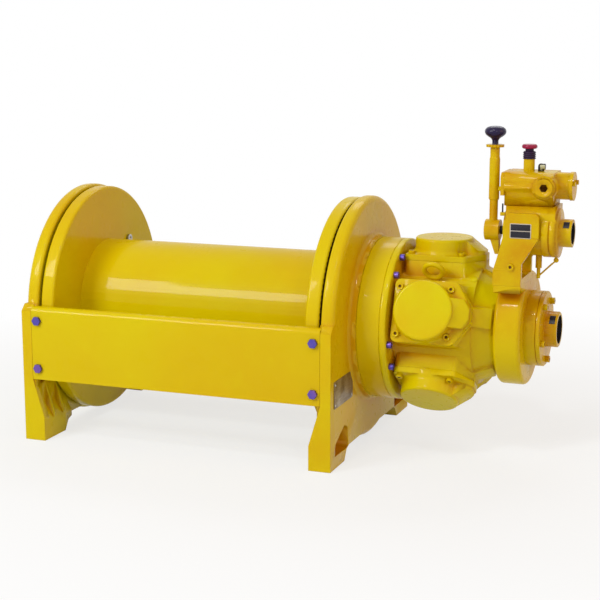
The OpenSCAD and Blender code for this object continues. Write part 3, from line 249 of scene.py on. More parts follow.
def make_paint(name, cast=0.0, edge=0.0014, wear=0.35, shift=0.0, tones=FRAME_TONES):
    """Glossy yellow enamel, coloured orange in its hollows as painted shade. cast is how far the
    rough sand casting shows through it.
    """
    material, shader, link = new_material(name, PAINT_YELLOW)
    patches = group_node(material, COAT_PATCHES, Patch_size=5 + shift)
    edges = group_node(material, EDGE_WEAR_AND_SHADE, Radius=edge, Amount=wear)
    broad, fine = patches.outputs["Broad"], patches.outputs["Fine"]
    base = blend_colour(material, span(material, broad, 0.35, 0.7), *tones)
    base = blend_colour(material, span(material, fine, 0.55, 0.8, 0, 0.35), base, PAINT_PALE)
    # Orange painted shade in hollows and inner corners.
    base = blend_colour(material, edges.outputs["Painted shade"], base, PAINT_HOLLOW_SHADE)
    base = blend_colour(material, edges.outputs["Worn"], base, PAINT_CREVICE)
    link(base, shader.inputs["Base Color"])
    link(span(material, fine, 0.3, 0.7, *PAINT_GLOSS), shader.inputs["Roughness"])
    shader.inputs["Specular IOR Level"].default_value = PAINT_SPECULAR
    shader.inputs["Coat Weight"].default_value = PAINT_COAT
    shader.inputs["Coat Roughness"].default_value = PAINT_COAT_ROUGHNESS
    peel = material.node_tree.nodes.new("ShaderNodeTexNoise")
    peel.inputs["Scale"].default_value = PEEL_SCALE
    peel.inputs["Detail"].default_value = 2
    place = material.node_tree.nodes.new("ShaderNodeTexCoord")
    link(place.outputs["Object"], peel.inputs["Vector"])
    normal = raised(material, peel.outputs["Fac"], 0.06, 0.001, edges.outputs["Normal"])
    if cast:
        sand = material.node_tree.nodes.new("ShaderNodeTexNoise")
        sand.inputs["Scale"].default_value = SAND_SCALE
        sand.inputs["Detail"].default_value = 6
        sand.inputs["Roughness"].default_value = 0.6
        link(place.outputs["Object"], sand.inputs["Vector"])
        normal = raised(material, sand.outputs["Fac"], cast, 0.0012, normal)
    link(normal, shader.inputs["Normal"])
    return material


def finish(mesh_data, material):
    """Gives a mesh one material, smooth faces and sharp edges where it turns."""
    mesh_data.materials.clear()
    mesh_data.materials.append(material)
    mesh_data.shade_smooth()
    mesh_data.set_sharp_from_angle(angle=SMOOTH_ANGLE)


def dress(node, material):
    """Stands a merged, smoothly shaded copy in a CAD node's place."""
    form = bmesh.new()
    form.from_mesh(nodes[node].data)
    bmesh.ops.remove_doubles(form, verts=form.verts, dist=MERGE_GAP)
    bmesh.ops.dissolve_degenerate(form, dist=1e-6, edges=form.edges)
    data = bpy.data.meshes.new("skin_" + node)
    form.to_mesh(data)
    form.free()
    finish(data, material)
    piece = bpy.data.objects.new("skin_" + node, data)
    bpy.context.scene.collection.objects.link(piece)
    flatten = piece.modifiers.new("flat_faces", "WEIGHTED_NORMAL")
    flatten.keep_sharp = True
    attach(piece, body_of_node[node])
    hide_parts(node)
    return piece


casting_paint = make_paint("casting_enamel", cast=0.12)
for name in ("upright_outboard", "upright_motor"):
    dress(name, casting_paint)


# Siderails: two bent steel plates across the front and the back, held by eight zinc bolts.
# The plate is smooth rolled steel, so its coat is flatter and shinier than the castings'.
sheet_paint = make_paint("sheet_enamel", edge=0.001, wear=0.2, shift=-3.0)
for name in ("siderail_front", "siderail_rear"):
    dress(name, sheet_paint)

ZINC_BLUE = (0.085, 0.075, 0.42, 1)
ZINC_VIOLET = (0.20, 0.10, 0.40, 1)
ZINC_DULL = (0.045, 0.040, 0.12, 1)
ZINC_GLOSS = (0.28, 0.5)
ZINC_METAL = 0.75


def make_zinc(name):
    """Blue passivated zinc: a thin bright layer with violet clouds and dull edges."""
    material, shader, link = new_material(name, ZINC_BLUE)
    patches = group_node(material, COAT_PATCHES, Patch_size=45.0)
    edges = group_node(material, EDGE_WEAR_AND_SHADE, Radius=0.0006, Amount=0.9)
    cloud = span(material, patches.outputs["Broad"], 0.4, 0.65)
    base = blend_colour(material, cloud, ZINC_BLUE, ZINC_VIOLET)
    base = blend_colour(material, edges.outputs["Worn"], base, ZINC_DULL)
    link(base, shader.inputs["Base Color"])
    link(span(material, patches.outputs["Fine"], 0.3, 0.7, *ZINC_GLOSS),
         shader.inputs["Roughness"])
    shader.inputs["Metallic"].default_value = ZINC_METAL
    link(edges.outputs["Normal"], shader.inputs["Normal"])
    return material


zinc = make_zinc("blue_zinc")
dress("siderail_bolts", zinc)


# Rope drum: a rolled steel barrel welded to two thick turned flanges, all in the same coat.
# The barrel is smooth, so it throws one long streak of light; the anchor screw is steel.
# The flanges' faces in the narrow gaps to the guards are coloured dark brown as painted shade.
# Dark brown painted shade for the gaps beside the drum flanges.
GAP_SHADE = (0.045, 0.020, 0.003, 1)
GAP_SHADE_PALE = (0.12, 0.060, 0.006, 1)
FACE_REACH = 0.0005
DARK_SPECULAR = 0.28


def part_faces(piece, material, chosen):
    """Gives the faces whose centre and normal pass the test a second material."""
    piece.data.materials.append(material)
    for face in piece.data.polygons:
        if chosen(face.center, face.normal):
            face.material_index = len(piece.data.materials) - 1


def make_dark(name, colour, lighter, rough, grain):
    """Moulded plastic, blackened metal, print, and the dark colours of painted shade: uneven gloss
    and paler edges.
    """
    material, shader, link = new_material(name, colour)
    patches = group_node(material, COAT_PATCHES, Patch_size=grain)
    edges = group_node(material, EDGE_WEAR_AND_SHADE, Radius=0.0007, Amount=0.8)
    cloud = span(material, patches.outputs["Fine"], 0.45, 0.75, 0, 0.6)
    base = blend_colour(material, cloud, colour, lighter)
    base = blend_colour(material, edges.outputs["Worn"], base, lighter)
    link(base, shader.inputs["Base Color"])
    low, high = rough - 0.06, rough + 0.1
    link(span(material, patches.outputs["Broad"], 0.3, 0.7, low, high), shader.inputs["Roughness"])
    shader.inputs["Specular IOR Level"].default_value = DARK_SPECULAR
    link(raised(material, patches.outputs["Fine"], 0.12, 0.0004, edges.outputs["Normal"]),
         shader.inputs["Normal"])
    return material


barrel_paint = make_paint("barrel_enamel", edge=0.001, wear=0.1, shift=-2.0)
gap_shade = make_dark("gap_shade", GAP_SHADE, GAP_SHADE_PALE, 0.5, 20.0)
dress("drum_barrel", barrel_paint)
gap_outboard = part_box("drum_flange_outboard")[0].x + FACE_REACH
gap_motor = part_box("drum_flange_motor")[1].x - FACE_REACH
# Painted shade: the flanges' faces in the gaps to the guards are coloured dark brown.
part_faces(dress("drum_flange_outboard", barrel_paint), gap_shade,
           lambda centre, normal: centre.x < gap_outboard)
part_faces(dress("drum_flange_motor", barrel_paint), gap_shade,
           lambda centre, normal: centre.x > gap_motor)

STEEL_LIGHT = (0.52, 0.53, 0.55, 1)
STEEL_DARK = (0.30, 0.30, 0.31, 1)
TOOL_MARKS = 320


def make_turned_steel(name, light=STEEL_LIGHT, deep=STEEL_DARK, rough=0.32):
    """Machined metal: fine tool marks round the drum axis, with a thin film of oil."""
    material, shader, link = new_material(name, light)
    tree = material.node_tree
    patches = group_node(material, COAT_PATCHES, Patch_size=12.0)
    edges = group_node(material, EDGE_WEAR_AND_SHADE, Radius=0.0005, Amount=0.4)
    place = tree.nodes.new("ShaderNodeTexCoord")
    marks = tree.nodes.new("ShaderNodeTexWave")
    marks.bands_direction = "X"
    marks.inputs["Scale"].default_value = TOOL_MARKS
    marks.inputs["Distortion"].default_value = 0.6
    link(place.outputs["Object"], marks.inputs["Vector"])
    base = blend_colour(material, span(material, patches.outputs["Broad"], 0.35, 0.7), light, deep)
    link(base, shader.inputs["Base Color"])
    low, high = rough - 0.07, rough + 0.12
    link(span(material, patches.outputs["Fine"], 0.3, 0.7, low, high), shader.inputs["Roughness"])
    shader.inputs["Metallic"].default_value = 1.0
    link(raised(material, marks.outputs["Fac"], 0.05, 0.0003, edges.outputs["Normal"]),
         shader.inputs["Normal"])
    return material


steel = make_turned_steel("turned_steel")
dress("rope_anchor_screw", steel)


# Outboard bearing: trunnion, ball bearing and a bolted cover, sunk in the outboard upright.
# Only the painted cover and its bolts show; the bearing inside is ground steel.
dress("bearing_cover", casting_paint)
dress("bearing_cover_bolts", zinc)
ground_steel = make_turned_steel("ground_steel", rough=0.2)


def paint_nodes(names, material):
    """Gives hidden inner CAD nodes their finish; their own meshes stay."""
    for name in names:
        nodes[name].data.materials.clear()
        nodes[name].data.materials.append(material)


paint_nodes(("drum_trunnion", "bearing_inner_ring", "bearing_outer_ring", "bearing_balls"),
            ground_steel)


# Gear set: sun, three planets and a fixed ring of hardened steel, run in grease.
# The carrier is turned steel; the drum turns on a bronze bush on the gear housing's tube.
BRONZE_LIGHT = (0.58, 0.36, 0.14, 1)
BRONZE_DARK = (0.36, 0.20, 0.07, 1)
bronze = make_turned_steel("bush_bronze", BRONZE_LIGHT, BRONZE_DARK, 0.36)
dress("gear_housing", casting_paint)
paint_nodes(("ring_gear", "planet_carrier", "planet_gear_1", "planet_gear_2", "planet_gear_3",
             "sun_gear"), steel)
paint_nodes(("drum_bush",), bronze)


# Disc brake: a turned painted housing between the upright and the motor.
# Inside are two woven friction discs, a steel plate, the air piston and its disc spring.
LINING_BROWN = (0.085, 0.062, 0.045, 1)
LINING_GREY = (0.16, 0.14, 0.125, 1)
dress("brake_housing", barrel_paint)
lining, lining_shader, link = new_material("friction_lining", LINING_BROWN)
lining_mix = group_node(lining, COAT_PATCHES, Patch_size=60.0)
link(blend_colour(lining, lining_mix.outputs["Fine"], LINING_BROWN, LINING_GREY),
     lining_shader.inputs["Base Color"])
lining_shader.inputs["Roughness"].default_value = 0.85
link(raised(lining, lining_mix.outputs["Fine"], 0.4, 0.0005), lining_shader.inputs["Normal"])
paint_nodes(("brake_discs",), lining)
paint_nodes(("brake_plate", "brake_hub", "brake_piston", "brake_spring"), steel)


# Air motor: one iron casting with five radial cylinders, each closed by a crowned head.
# Case, heads and their screws are painted together; the flange screws keep their zinc.
# The hexagon sockets of the painted cap screws are coloured dark as painted shade.
# Dark painted shade for screw sockets.
SOCKET_SHADE = (0.13, 0.050, 0.003, 1)
SOCKET_SHADE_PALE = (0.34, 0.17, 0.006, 1)
SOCKET_DEPTH = 0.0008


def settle(form, name, material, body):
    """Turns a finished bmesh into a piece at the origin that rides on its body."""
    bmesh.ops.recalc_face_normals(form, faces=form.faces)
    data = bpy.data.meshes.new(name)
    form.to_mesh(data)
    form.free()
    finish(data, material)
    piece = bpy.data.objects.new(name, data)
    bpy.context.scene.collection.objects.link(piece)
    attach(piece, body)
    return piece


def islands(form):
    """The separate solids of a mesh, each as a list of faces."""
    left = set(form.faces)
    while left:
        grown, edge = set(), [left.pop()]
        while edge:
            face = edge.pop()
            grown.add(face)
            for corner in face.verts:
                for near in corner.link_faces:
                    if near in left:
                        left.remove(near)
                        edge.append(near)
        yield list(grown)


def darken_sockets(piece, material):
    """Gives the faces that lie well inside the outline of each screw the painted shade of its
    socket.
    """
    form = bmesh.new()
    form.from_mesh(piece.data)
    piece.data.materials.append(material)
    sunk = []
    for solid in islands(form):
        cover = bmesh.new()
        for place in {corner.co.copy().freeze() for face in solid for corner in face.verts}:
            cover.verts.new(place)
        bmesh.ops.convex_hull(cover, input=cover.verts)
        bmesh.ops.recalc_face_normals(cover, faces=cover.faces)
        sides = [(side.normal.copy(), side.verts[0].co.copy()) for side in cover.faces]
        cover.free()
        for face in solid:
            middle = face.calc_center_median()
            if min((spot - middle).dot(normal) for normal, spot in sides) > SOCKET_DEPTH:
                sunk.append(face.index)
    form.free()
    for number in sunk:
        piece.data.polygons[number].material_index = len(piece.data.materials) - 1


def low_plug(form, place, outward, radius, height):
    """A shallow round plug with a domed face, half sunk in the surface it closes."""
    turn = Vector(outward).to_track_quat("Z", "Y").to_matrix().to_4x4()
    ball = bmesh.ops.create_uvsphere(form, u_segments=24, v_segments=10, radius=radius)["verts"]
    bmesh.ops.scale(form, verts=ball, vec=(1, 1, height / radius))
    bmesh.ops.transform(form, verts=ball, matrix=Matrix.Translation(place) @ turn)


MOTOR_TONES = ((0.67, 0.61, 0.001, 1), (0.67, 0.50, 0.001, 1))
motor_paint = make_paint("motor_enamel", cast=0.3, edge=0.0034, wear=0.3, shift=3.0,
                         tones=MOTOR_TONES)
for name in ("motor_housing", "cylinder_heads"):
    dress(name, motor_paint)
screw_paint = make_paint("screw_enamel", edge=0.0008, wear=0.7, shift=12.0)
socket_shade = make_dark("socket_shade", SOCKET_SHADE, SOCKET_SHADE_PALE, 0.6, 60.0)
darken_sockets(dress("head_bolts", screw_paint), socket_shade)
dress("motor_bolts", zinc)
dress("lifting_eye", casting_paint)
CASE_PLUG_PLACE = (0.5582, -0.0625, 0.3571)
CASE_PLUG_OUT = (0.0, -0.518, 0.855)
CASE_PLUG_R = 0.0078
CASE_PLUG_H = 0.0022
case_plug = bmesh.new()
low_plug(case_plug, CASE_PLUG_PLACE, CASE_PLUG_OUT, CASE_PLUG_R, CASE_PLUG_H)
settle(case_plug, "case_plug", motor_paint, "frame")
ALLOY_LIGHT = (0.66, 0.67, 0.68, 1)
alloy = make_turned_steel("piston_alloy", ALLOY_LIGHT, STEEL_LIGHT, 0.34)
paint_nodes(("crankshaft", "crank_bearings"), ground_steel)
paint_nodes(["piston_%d" % n for n in range(1, 6)], alloy)


# Exhaust: the turned rotary valve housing, a bolted flange and a short pipe to the right.
# Housing, flange, pipe and screws were painted together; their yellow is made more orange than the
# motor's as painted shade.
# The bore behind the port and the rotary valve inside it are coloured near-black as painted shade.
BORE_SHADE = (0.006, 0.005, 0.005, 1)
BORE_SHADE_BROWN = (0.022, 0.014, 0.008, 1)
DRUM_AXIS_Z = 0.257
EXHAUST_BORE = 0.0298
EXHAUST_FROM_X = 0.6


def in_exhaust(centre, normal):
    away = math.hypot(centre.y, centre.z - DRUM_AXIS_Z)
    return away < EXHAUST_BORE and centre.x > EXHAUST_FROM_X


# Painted shade: a more orange copy of the yellow enamel for the exhaust, the valve and the lever.
SHADE_TONES = ((0.68, 0.54, 0.001, 1), (0.60, 0.33, 0.001, 1))
exhaust_paint = make_paint("exhaust_enamel", cast=0.08, edge=0.0018, wear=0.3, shift=1.0,
                           tones=SHADE_TONES)
# Screws on the shaded parts get the same orange painted shade.
shaded_screw_paint = make_paint("shaded_screw_enamel", edge=0.0008, wear=0.7, shift=12.0,
                              tones=SHADE_TONES)
bore_shade = make_dark("bore_shade", BORE_SHADE, BORE_SHADE_BROWN, 0.5, 30.0)
for name in ("exhaust_housing", "exhaust_flange"):
    part_faces(dress(name, exhaust_paint), bore_shade, in_exhaust)
paint_nodes(("rotary_valve",), bore_shade)
darken_sockets(dress("exhaust_bolts", shaded_screw_paint), socket_shade)


# Throttle valve: a cast bracket on the exhaust housing carries body, head and end covers.
# All is sand cast and painted, with its cap screws and plug, in the more orange yellow of painted
# shade; the elbow has a pale sight glass.
valve_paint = make_paint("valve_enamel", cast=0.25, edge=0.0016, wear=0.4, shift=7.0,
                         tones=SHADE_TONES)
BLACK_OXIDE = (0.012, 0.010, 0.016, 1)
BLACK_WORN = (0.060, 0.055, 0.070, 1)
GLASS_PALE = (0.50, 0.54, 0.36, 1)
GLASS_BRIGHT = (0.66, 0.70, 0.58, 1)
VALVE_AXIS = Vector((0, -0.060, 0.456))
HEAD_TOP_Z = 0.571
PLUG_PLACE = Vector((0.697, 0, 0.545))
PLUG_HEX = 0.0082
PLUG_FACE_Y = (-0.1145, -0.100)
INLET_BORE = 0.0212
INLET_FROM_X = 0.69
GLASS_Z = (0.5755, 0.5835)
GLASS_FROM_X = 0.680
GLASS_TURN = -0.35


def in_inlet(centre, normal):
    away = math.hypot(centre.y - VALVE_AXIS.y, centre.z - VALVE_AXIS.z)
    return away < INLET_BORE and centre.x > INLET_FROM_X


def in_plug_hex(centre, normal):
    away = math.hypot(centre.x - PLUG_PLACE.x, centre.z - PLUG_PLACE.z)
    return away < PLUG_HEX and PLUG_FACE_Y[0] < centre.y < PLUG_FACE_Y[1]


def in_sight_glass(centre, normal):
    in_height = GLASS_Z[0] < centre.z < GLASS_Z[1]
    return in_height and centre.x > GLASS_FROM_X and normal.y < GLASS_TURN


def rounded_plate(form, low, high, across, corner, edge):
    """A thin plate between two corners; across is the axis it is thin along."""
    low, high = Vector(low), Vector(high)
    block = bmesh.ops.create_cube(form, size=1)["verts"]
    bmesh.ops.scale(form, verts=block, vec=high - low)
    bmesh.ops.translate(form, verts=block, vec=(low + high) / 2)
    mine = set(block)
    upright = [e for e in form.edges if set(e.verts) <= mine
               and abs((e.verts[0].co - e.verts[1].co).normalized()[across]) > 0.99]
    bmesh.ops.bevel(form, geom=upright, offset=corner, segments=4, profile=0.5,
                    affect="EDGES", material=-1)
    rims = [f for f in form.faces if len(f.verts) > 4 and f.is_valid]
    bmesh.ops.bevel(form, geom=[e for f in rims for e in f.edges], offset=edge, segments=2,
                    profile=0.5, affect="EDGES", material=-1)


def round_bar(form, start, end, radius):
    """A straight round bar between two places."""
    start, end = Vector(start), Vector(end)
    turn = (end - start).to_track_quat("Z", "Y").to_matrix().to_4x4()
    bar = bmesh.ops.create_cone(form, cap_ends=True, segments=20, radius1=radius,
                                radius2=radius,
                                depth=(end - start).length)["verts"]
    bmesh.ops.transform(form, verts=bar, matrix=Matrix.Translation((start + end) / 2) @ turn)


for name in ("valve_bracket", "valve_head", "valve_end_covers"):
    dress(name, valve_paint)
# Painted shade: the inlet bore is coloured near-black.
part_faces(dress("valve_body", valve_paint), bore_shade, in_inlet)
darken_sockets(dress("valve_screws", shaded_screw_paint), socket_shade)
black_oxide = make_dark("black_oxide", BLACK_OXIDE, BLACK_WORN, 0.3, 40.0)
sight_glass = make_dark("sight_glass", GLASS_PALE, GLASS_BRIGHT, 0.2, 60.0)
fittings = dress("port_fittings", valve_paint)
# Painted shade in the plug's hexagon socket.
part_faces(fittings, socket_shade, in_plug_hex)
part_faces(fittings, black_oxide, lambda centre, normal: centre.z > HEAD_TOP_Z)
part_faces(fittings, sight_glass, in_sight_glass)
# The spool inside the inlet bore is coloured near-black as painted shade.
paint_nodes(("throttle_spool",), bore_shade)
dress("drain_cock", shaded_screw_paint)
BODY_END_X = 0.6215
PIN_X = 0.6095
PIN_R = 0.0015
PIN_TOP = 0.507
LUG_Z = (0.484, 0.4905)
LUG_HALF = 0.006
LUG_REACH = 0.004
lever_stop = bmesh.new()
rounded_plate(lever_stop, (PIN_X - LUG_REACH, VALVE_AXIS.y - LUG_HALF, LUG_Z[0]),
              (BODY_END_X, VALVE_AXIS.y + LUG_HALF, LUG_Z[1]), 2, 0.0025, 0.0006)
settle(lever_stop, "lever_stop_lug", valve_paint, "frame")
stop_pin = bmesh.new()
round_bar(stop_pin, (PIN_X, VALVE_AXIS.y, LUG_Z[0]), (PIN_X, VALVE_AXIS.y, PIN_TOP), PIN_R)
settle(stop_pin, "lever_stop_pin", black_oxide, "frame")
ROD_START = (0.7070, -0.060, 0.3950)
ROD_END = (0.7125, -0.060, 0.4005)
ROD_R = 0.0015
EYE_PLACE = (0.7150, -0.060, 0.4035)
EYE_R = 0.0050
EYE_THICK = 0.0032
EYE_STEM_TOP = (EYE_PLACE[0], EYE_PLACE[1], 0.4115)
EYE_STEM_R = 0.0028
pull_eye = bmesh.new()
round_bar(pull_eye, ROD_START, ROD_END, ROD_R)
round_bar(pull_eye, EYE_PLACE, EYE_STEM_TOP, EYE_STEM_R)
low_plug(pull_eye, EYE_PLACE, (0, -1, 0), EYE_R, EYE_THICK)
settle(pull_eye, "pull_rod_eye", shaded_screw_paint, "frame")


# Hand lever: a painted hub and rod, a thin serrated collar and a dark moulded knob.
# The knob is turned on to the rod's end; the collar lifts to free the lever.
KNOB_NAVY = (0.010, 0.004, 0.042, 1)
KNOB_SHEEN = (0.026, 0.015, 0.085, 1)
LEVER_X = 0.592
COLLAR_TOP = 0.163
KNOB_BASE = 0.171
KNOB_TOP = 0.198
HUB_EDGE = 0.004
HUB_EDGE_STEPS = 4
HUB_EDGE_ANGLE = math.radians(50)
# Painted shade: the lever's enamel uses the more orange copy of the yellow.
lever_paint = make_paint("lever_enamel", cast=0.1, edge=0.001, wear=0.8, shift=14.0,
                         tones=SHADE_TONES)
knob_plastic = make_dark("knob_plastic", KNOB_NAVY, KNOB_SHEEN, 0.24, 55.0)
hub_piece = dress("lever_hub", lever_paint)
hub_round = hub_piece.modifiers.new("cast_edges", "BEVEL")
hub_round.width = HUB_EDGE
hub_round.segments = HUB_EDGE_STEPS
hub_round.limit_method = "ANGLE"
hub_round.angle_limit = HUB_EDGE_ANGLE
hub_round.harden_normals = True
hub_piece.modifiers.move(1, 0)
dress("lever_collar", lever_paint)
part_faces(dress("lever_rod", lever_paint), knob_plastic,
           lambda centre, normal: centre.z > VALVE_AXIS.z + COLLAR_TOP - 0.001)
knob_profile = (
    (0.0, KNOB_BASE), (0.0066, KNOB_BASE), (0.0072, 0.1728), (0.0094, 0.1752), (0.0142, 0.1782),
    (0.0182, 0.1814), (0.0202, 0.1850), (0.0204, 0.1884), (0.0189, 0.1924), (0.0152, 0.1955),
    (0.0100, 0.1973), (0.0050, 0.1979), (0.0, KNOB_TOP),
)
knob = bmesh.new()
knob_line = [knob.verts.new((radius, 0, height)) for radius, height in knob_profile]
knob_edges = [knob.edges.new(pair) for pair in zip(knob_line, knob_line[1:])]
bmesh.ops.spin(knob, geom=knob_line + knob_edges, cent=(0, 0, 0), axis=(0, 0, 1), steps=48,
               angle=math.radians(360), use_merge=True, use_duplicate=False)
bmesh.ops.remove_doubles(knob, verts=knob.verts, dist=1e-6)
bmesh.ops.translate(knob, verts=knob.verts, vec=(LEVER_X, VALVE_AXIS.y, VALVE_AXIS.z))
knob_piece = settle(knob, "knob", knob_plastic, "lever")
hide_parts("lever_knob")


# Stop valve: a painted stem, a ribbed rubber sleeve and a thin red button on top.
# The stem is screwed into the valve's head; pressing the button shuts the air off.
RUBBER_VIOLET = (0.018, 0.005, 0.036, 1)
RUBBER_DUST = (0.038, 0.020, 0.062, 1)
BUTTON_RED = (0.28, 0.002, 0.050, 1)
BUTTON_WORN = (0.45, 0.03, 0.10, 1)
CAP_Z = 0.6125
dress("stop_guard", valve_paint)
rubber = make_dark("ribbed_rubber", RUBBER_VIOLET, RUBBER_DUST, 0.5, 50.0)
dress("stop_sleeve", rubber)
button_red = make_dark("button_red", BUTTON_RED, BUTTON_WORN, 0.3, 50.0)
part_faces(dress("stop_button", button_red), rubber,
           lambda centre, normal: centre.z < CAP_Z)


# Nameplate: a thin plate of rolled metal on the motor-side upright.
# It is held by four drive rivets, and years of dust have turned its metal brown.
PLATE_METAL = (0.40, 0.33, 0.22, 1)
PLATE_BROWN = (0.20, 0.135, 0.07, 1)
PLATE_THICK = 0.0012
PLATE_CORNER = 0.004
PLATE_GLOSS = (0.34, 0.55)
PLATE_METALLIC = 0.85
BRUSH_GRAIN = 900
RIVET_FLATNESS = 0.55
NAMEPLATE_FACE_X = 0.3335
NAMEPLATE_Y = (-0.244, -0.132)
NAMEPLATE_Z = (0.120, 0.174)
RIVET_R = 0.0024
RIVET_INSET = 0.007


def rivet_head(form, place, turn, radius):
    """A low round head that stands on its own plane along the turned Z axis."""
    ball = bmesh.ops.create_uvsphere(form, u_segments=14, v_segments=8, radius=radius)["verts"]
    bmesh.ops.scale(form, verts=ball, vec=(1, 1, RIVET_FLATNESS))
    bmesh.ops.transform(form, verts=ball, matrix=Matrix.Translation(place) @ turn)


def make_plate_metal(name, light, brown, grain):
    """Rolled sheet with brush lines along Y, under a brown film of dust and oil."""
    material, shader, link = new_material(name, light)
    tree = material.node_tree
    place, stretch = tree.nodes.new("ShaderNodeTexCoord"), tree.nodes.new("ShaderNodeMapping")
    stretch.inputs["Scale"].default_value = (1, 0.04, 1)
    brush = tree.nodes.new("ShaderNodeTexNoise")
    brush.inputs["Scale"].default_value = grain
    brush.inputs["Detail"].default_value = 4
    link(place.outputs["Object"], stretch.inputs["Vector"])
    link(stretch.outputs["Vector"], brush.inputs["Vector"])
    patches = group_node(material, COAT_PATCHES, Patch_size=30.0)
    edges = group_node(material, EDGE_WEAR_AND_SHADE, Radius=0.0004, Amount=0.5)
    film = span(material, patches.outputs["Broad"], 0.4, 0.62)
    lines = span(material, brush.outputs["Fac"], 0.5, 0.75, 0, 0.5)
    base = blend_colour(material, film, light, brown)
    base = blend_colour(material, lines, base, brown)
    link(base, shader.inputs["Base Color"])
    link(span(material, brush.outputs["Fac"], 0.3, 0.7, *PLATE_GLOSS), shader.inputs["Roughness"])
    shader.inputs["Metallic"].default_value = PLATE_METALLIC
    link(raised(material, brush.outputs["Fac"], 0.15, 0.0002, edges.outputs["Normal"]),
         shader.inputs["Normal"])
    return material


plate_metal = make_plate_metal("plate_metal", PLATE_METAL, PLATE_BROWN, BRUSH_GRAIN)
nameplate = bmesh.new()
rounded_plate(nameplate, (NAMEPLATE_FACE_X, NAMEPLATE_Y[0], NAMEPLATE_Z[0]),
              (NAMEPLATE_FACE_X + PLATE_THICK, NAMEPLATE_Y[1], NAMEPLATE_Z[1]),
              0, PLATE_CORNER, 0.0002)
settle(nameplate, "nameplate", plate_metal, "frame")
rivets = bmesh.new()
for y in (NAMEPLATE_Y[0] + RIVET_INSET, NAMEPLATE_Y[1] - RIVET_INSET):
    for z in (NAMEPLATE_Z[0] + RIVET_INSET, NAMEPLATE_Z[1] - RIVET_INSET):
        rivet_head(rivets, (NAMEPLATE_FACE_X + PLATE_THICK, y, z),
                   Matrix.Rotation(math.radians(90), 4, "Y"), RIVET_R)
settle(rivets, "nameplate_rivets", steel, "frame")


# Lever plate: a thin dark plate with a pale rim and a pale bar across it.
# It is stuck to the front cheek of the valve bracket, beside the lever.
LABEL_DARK = (0.012, 0.012, 0.022, 1)
LABEL_GREY = (0.05, 0.05, 0.06, 1)
LABEL_PALE = (0.62, 0.60, 0.55, 1)
LABEL_DUST = (0.45, 0.40, 0.30, 1)
LABEL_X = (0.636, 0.676)
LABEL_Z = (0.449, 0.477)
LABEL_THICK = 0.0008
LABEL_RIM = 0.0014
label_dark = make_dark("label_dark", LABEL_DARK, LABEL_GREY, 0.35, 60.0)
label_pale = make_dark("label_pale", LABEL_PALE, LABEL_DUST, 0.45, 60.0)
cheek_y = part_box("valve_bracket")[0].y
label = bmesh.new()
rounded_plate(label, (LABEL_X[0], cheek_y - LABEL_THICK, LABEL_Z[0]),
              (LABEL_X[1], cheek_y, LABEL_Z[1]), 1, 0.002, 0.0001)
settle(label, "lever_plate", label_pale, "frame")
panels = bmesh.new()
middle_z = sum(LABEL_Z) / 2
for low_z, high_z in ((LABEL_Z[0] + LABEL_RIM, middle_z - LABEL_RIM / 2),
                      (middle_z + LABEL_RIM / 2, LABEL_Z[1] - LABEL_RIM)):
    rounded_plate(panels, (LABEL_X[0] + LABEL_RIM, cheek_y - LABEL_THICK * 1.4, low_z),
                  (LABEL_X[1] - LABEL_RIM, cheek_y - LABEL_THICK / 2, high_z), 1, 0.001, 0.0001)
settle(panels, "lever_plate_panels", label_dark, "frame")


# Port tags: small dark tags of thin foil, stuck on to the paint.
# They are bent round the front of the inlet pipe and of the exhaust pipe, near the rim.
TAG_THICK = 0.0006
TAG_FROM_END = (0.015, 0.004)
TAG_DEGREES = (28, 58)
INLET_PIPE_R = 0.0265
EXHAUST_PIPE_R = 0.035


def bent_tag(form, axis_y, axis_z, radius, x0, x1, low_deg, high_deg):
    """A strip spun round the pipe's axis, from one angle over the front to another."""
    strip = [form.verts.new((x, 0, r)) for x, r in
             ((x0, radius), (x1, radius), (x1, radius + TAG_THICK), (x0, radius + TAG_THICK))]
    face = form.faces.new(strip)
    turn = Matrix.Rotation(math.radians(90 - low_deg), 4, "X")
    bmesh.ops.rotate(form, verts=strip, cent=(0, 0, 0), matrix=turn.to_3x3())
    bmesh.ops.spin(form, geom=[face], cent=(0, 0, 0), axis=(1, 0, 0), steps=10,
                   angle=-math.radians(high_deg - low_deg), use_duplicate=False)
    bmesh.ops.translate(form, verts=form.verts, vec=(0, axis_y, axis_z))


inlet_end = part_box("valve_body")[1].x
exhaust_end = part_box("exhaust_flange")[1].x
for name, axis_y, axis_z, radius, end_x in (
    ("inlet_tag", VALVE_AXIS.y, VALVE_AXIS.z, INLET_PIPE_R, inlet_end),
    ("exhaust_tag", 0.0, DRUM_AXIS_Z, EXHAUST_PIPE_R, exhaust_end),
):
    tag = bmesh.new()
    bent_tag(tag, axis_y, axis_z, radius, end_x - TAG_FROM_END[0], end_x - TAG_FROM_END[1],
             *TAG_DEGREES)
    settle(tag, name, label_dark, "frame")


# Floor and light: a pale floor under soft studio light, with the camera in front.
# The floor keeps the winch's shadow near it and fades to plain white away from it.
FLOOR_PALE = (0.80, 0.87, 0.95, 1)
FLOOR_HALF = 40
FLOOR_SINK = 0.0005
FLOOR_MIDDLE_X = 0.19
WHITE_FROM = 0.55
WHITE_FULL = 1.5
NEAR_WHITE = 0.72
FILL_WARM = (1.0, 0.73, 0.44, 1)
FILL_LEVEL = 0.40
deck_z = cad_box[0].z
floor_z = deck_z - FLOOR_SINK


def seen_or_mirrored(tree):
    """1 for what the camera or a mirror sees, and 0 for the light that falls on things."""
    path = tree.nodes.new("ShaderNodeLightPath")
    seen = path.outputs["Is Camera Ray"]
    for ray in ("Is Glossy Ray", "Is Transmission Ray"):
        either = tree.nodes.new("ShaderNodeMath")
        either.operation = "MAXIMUM"
        tree.links.new(seen, either.inputs[0])
        tree.links.new(path.outputs[ray], either.inputs[1])
        seen = either.outputs[0]
    return seen


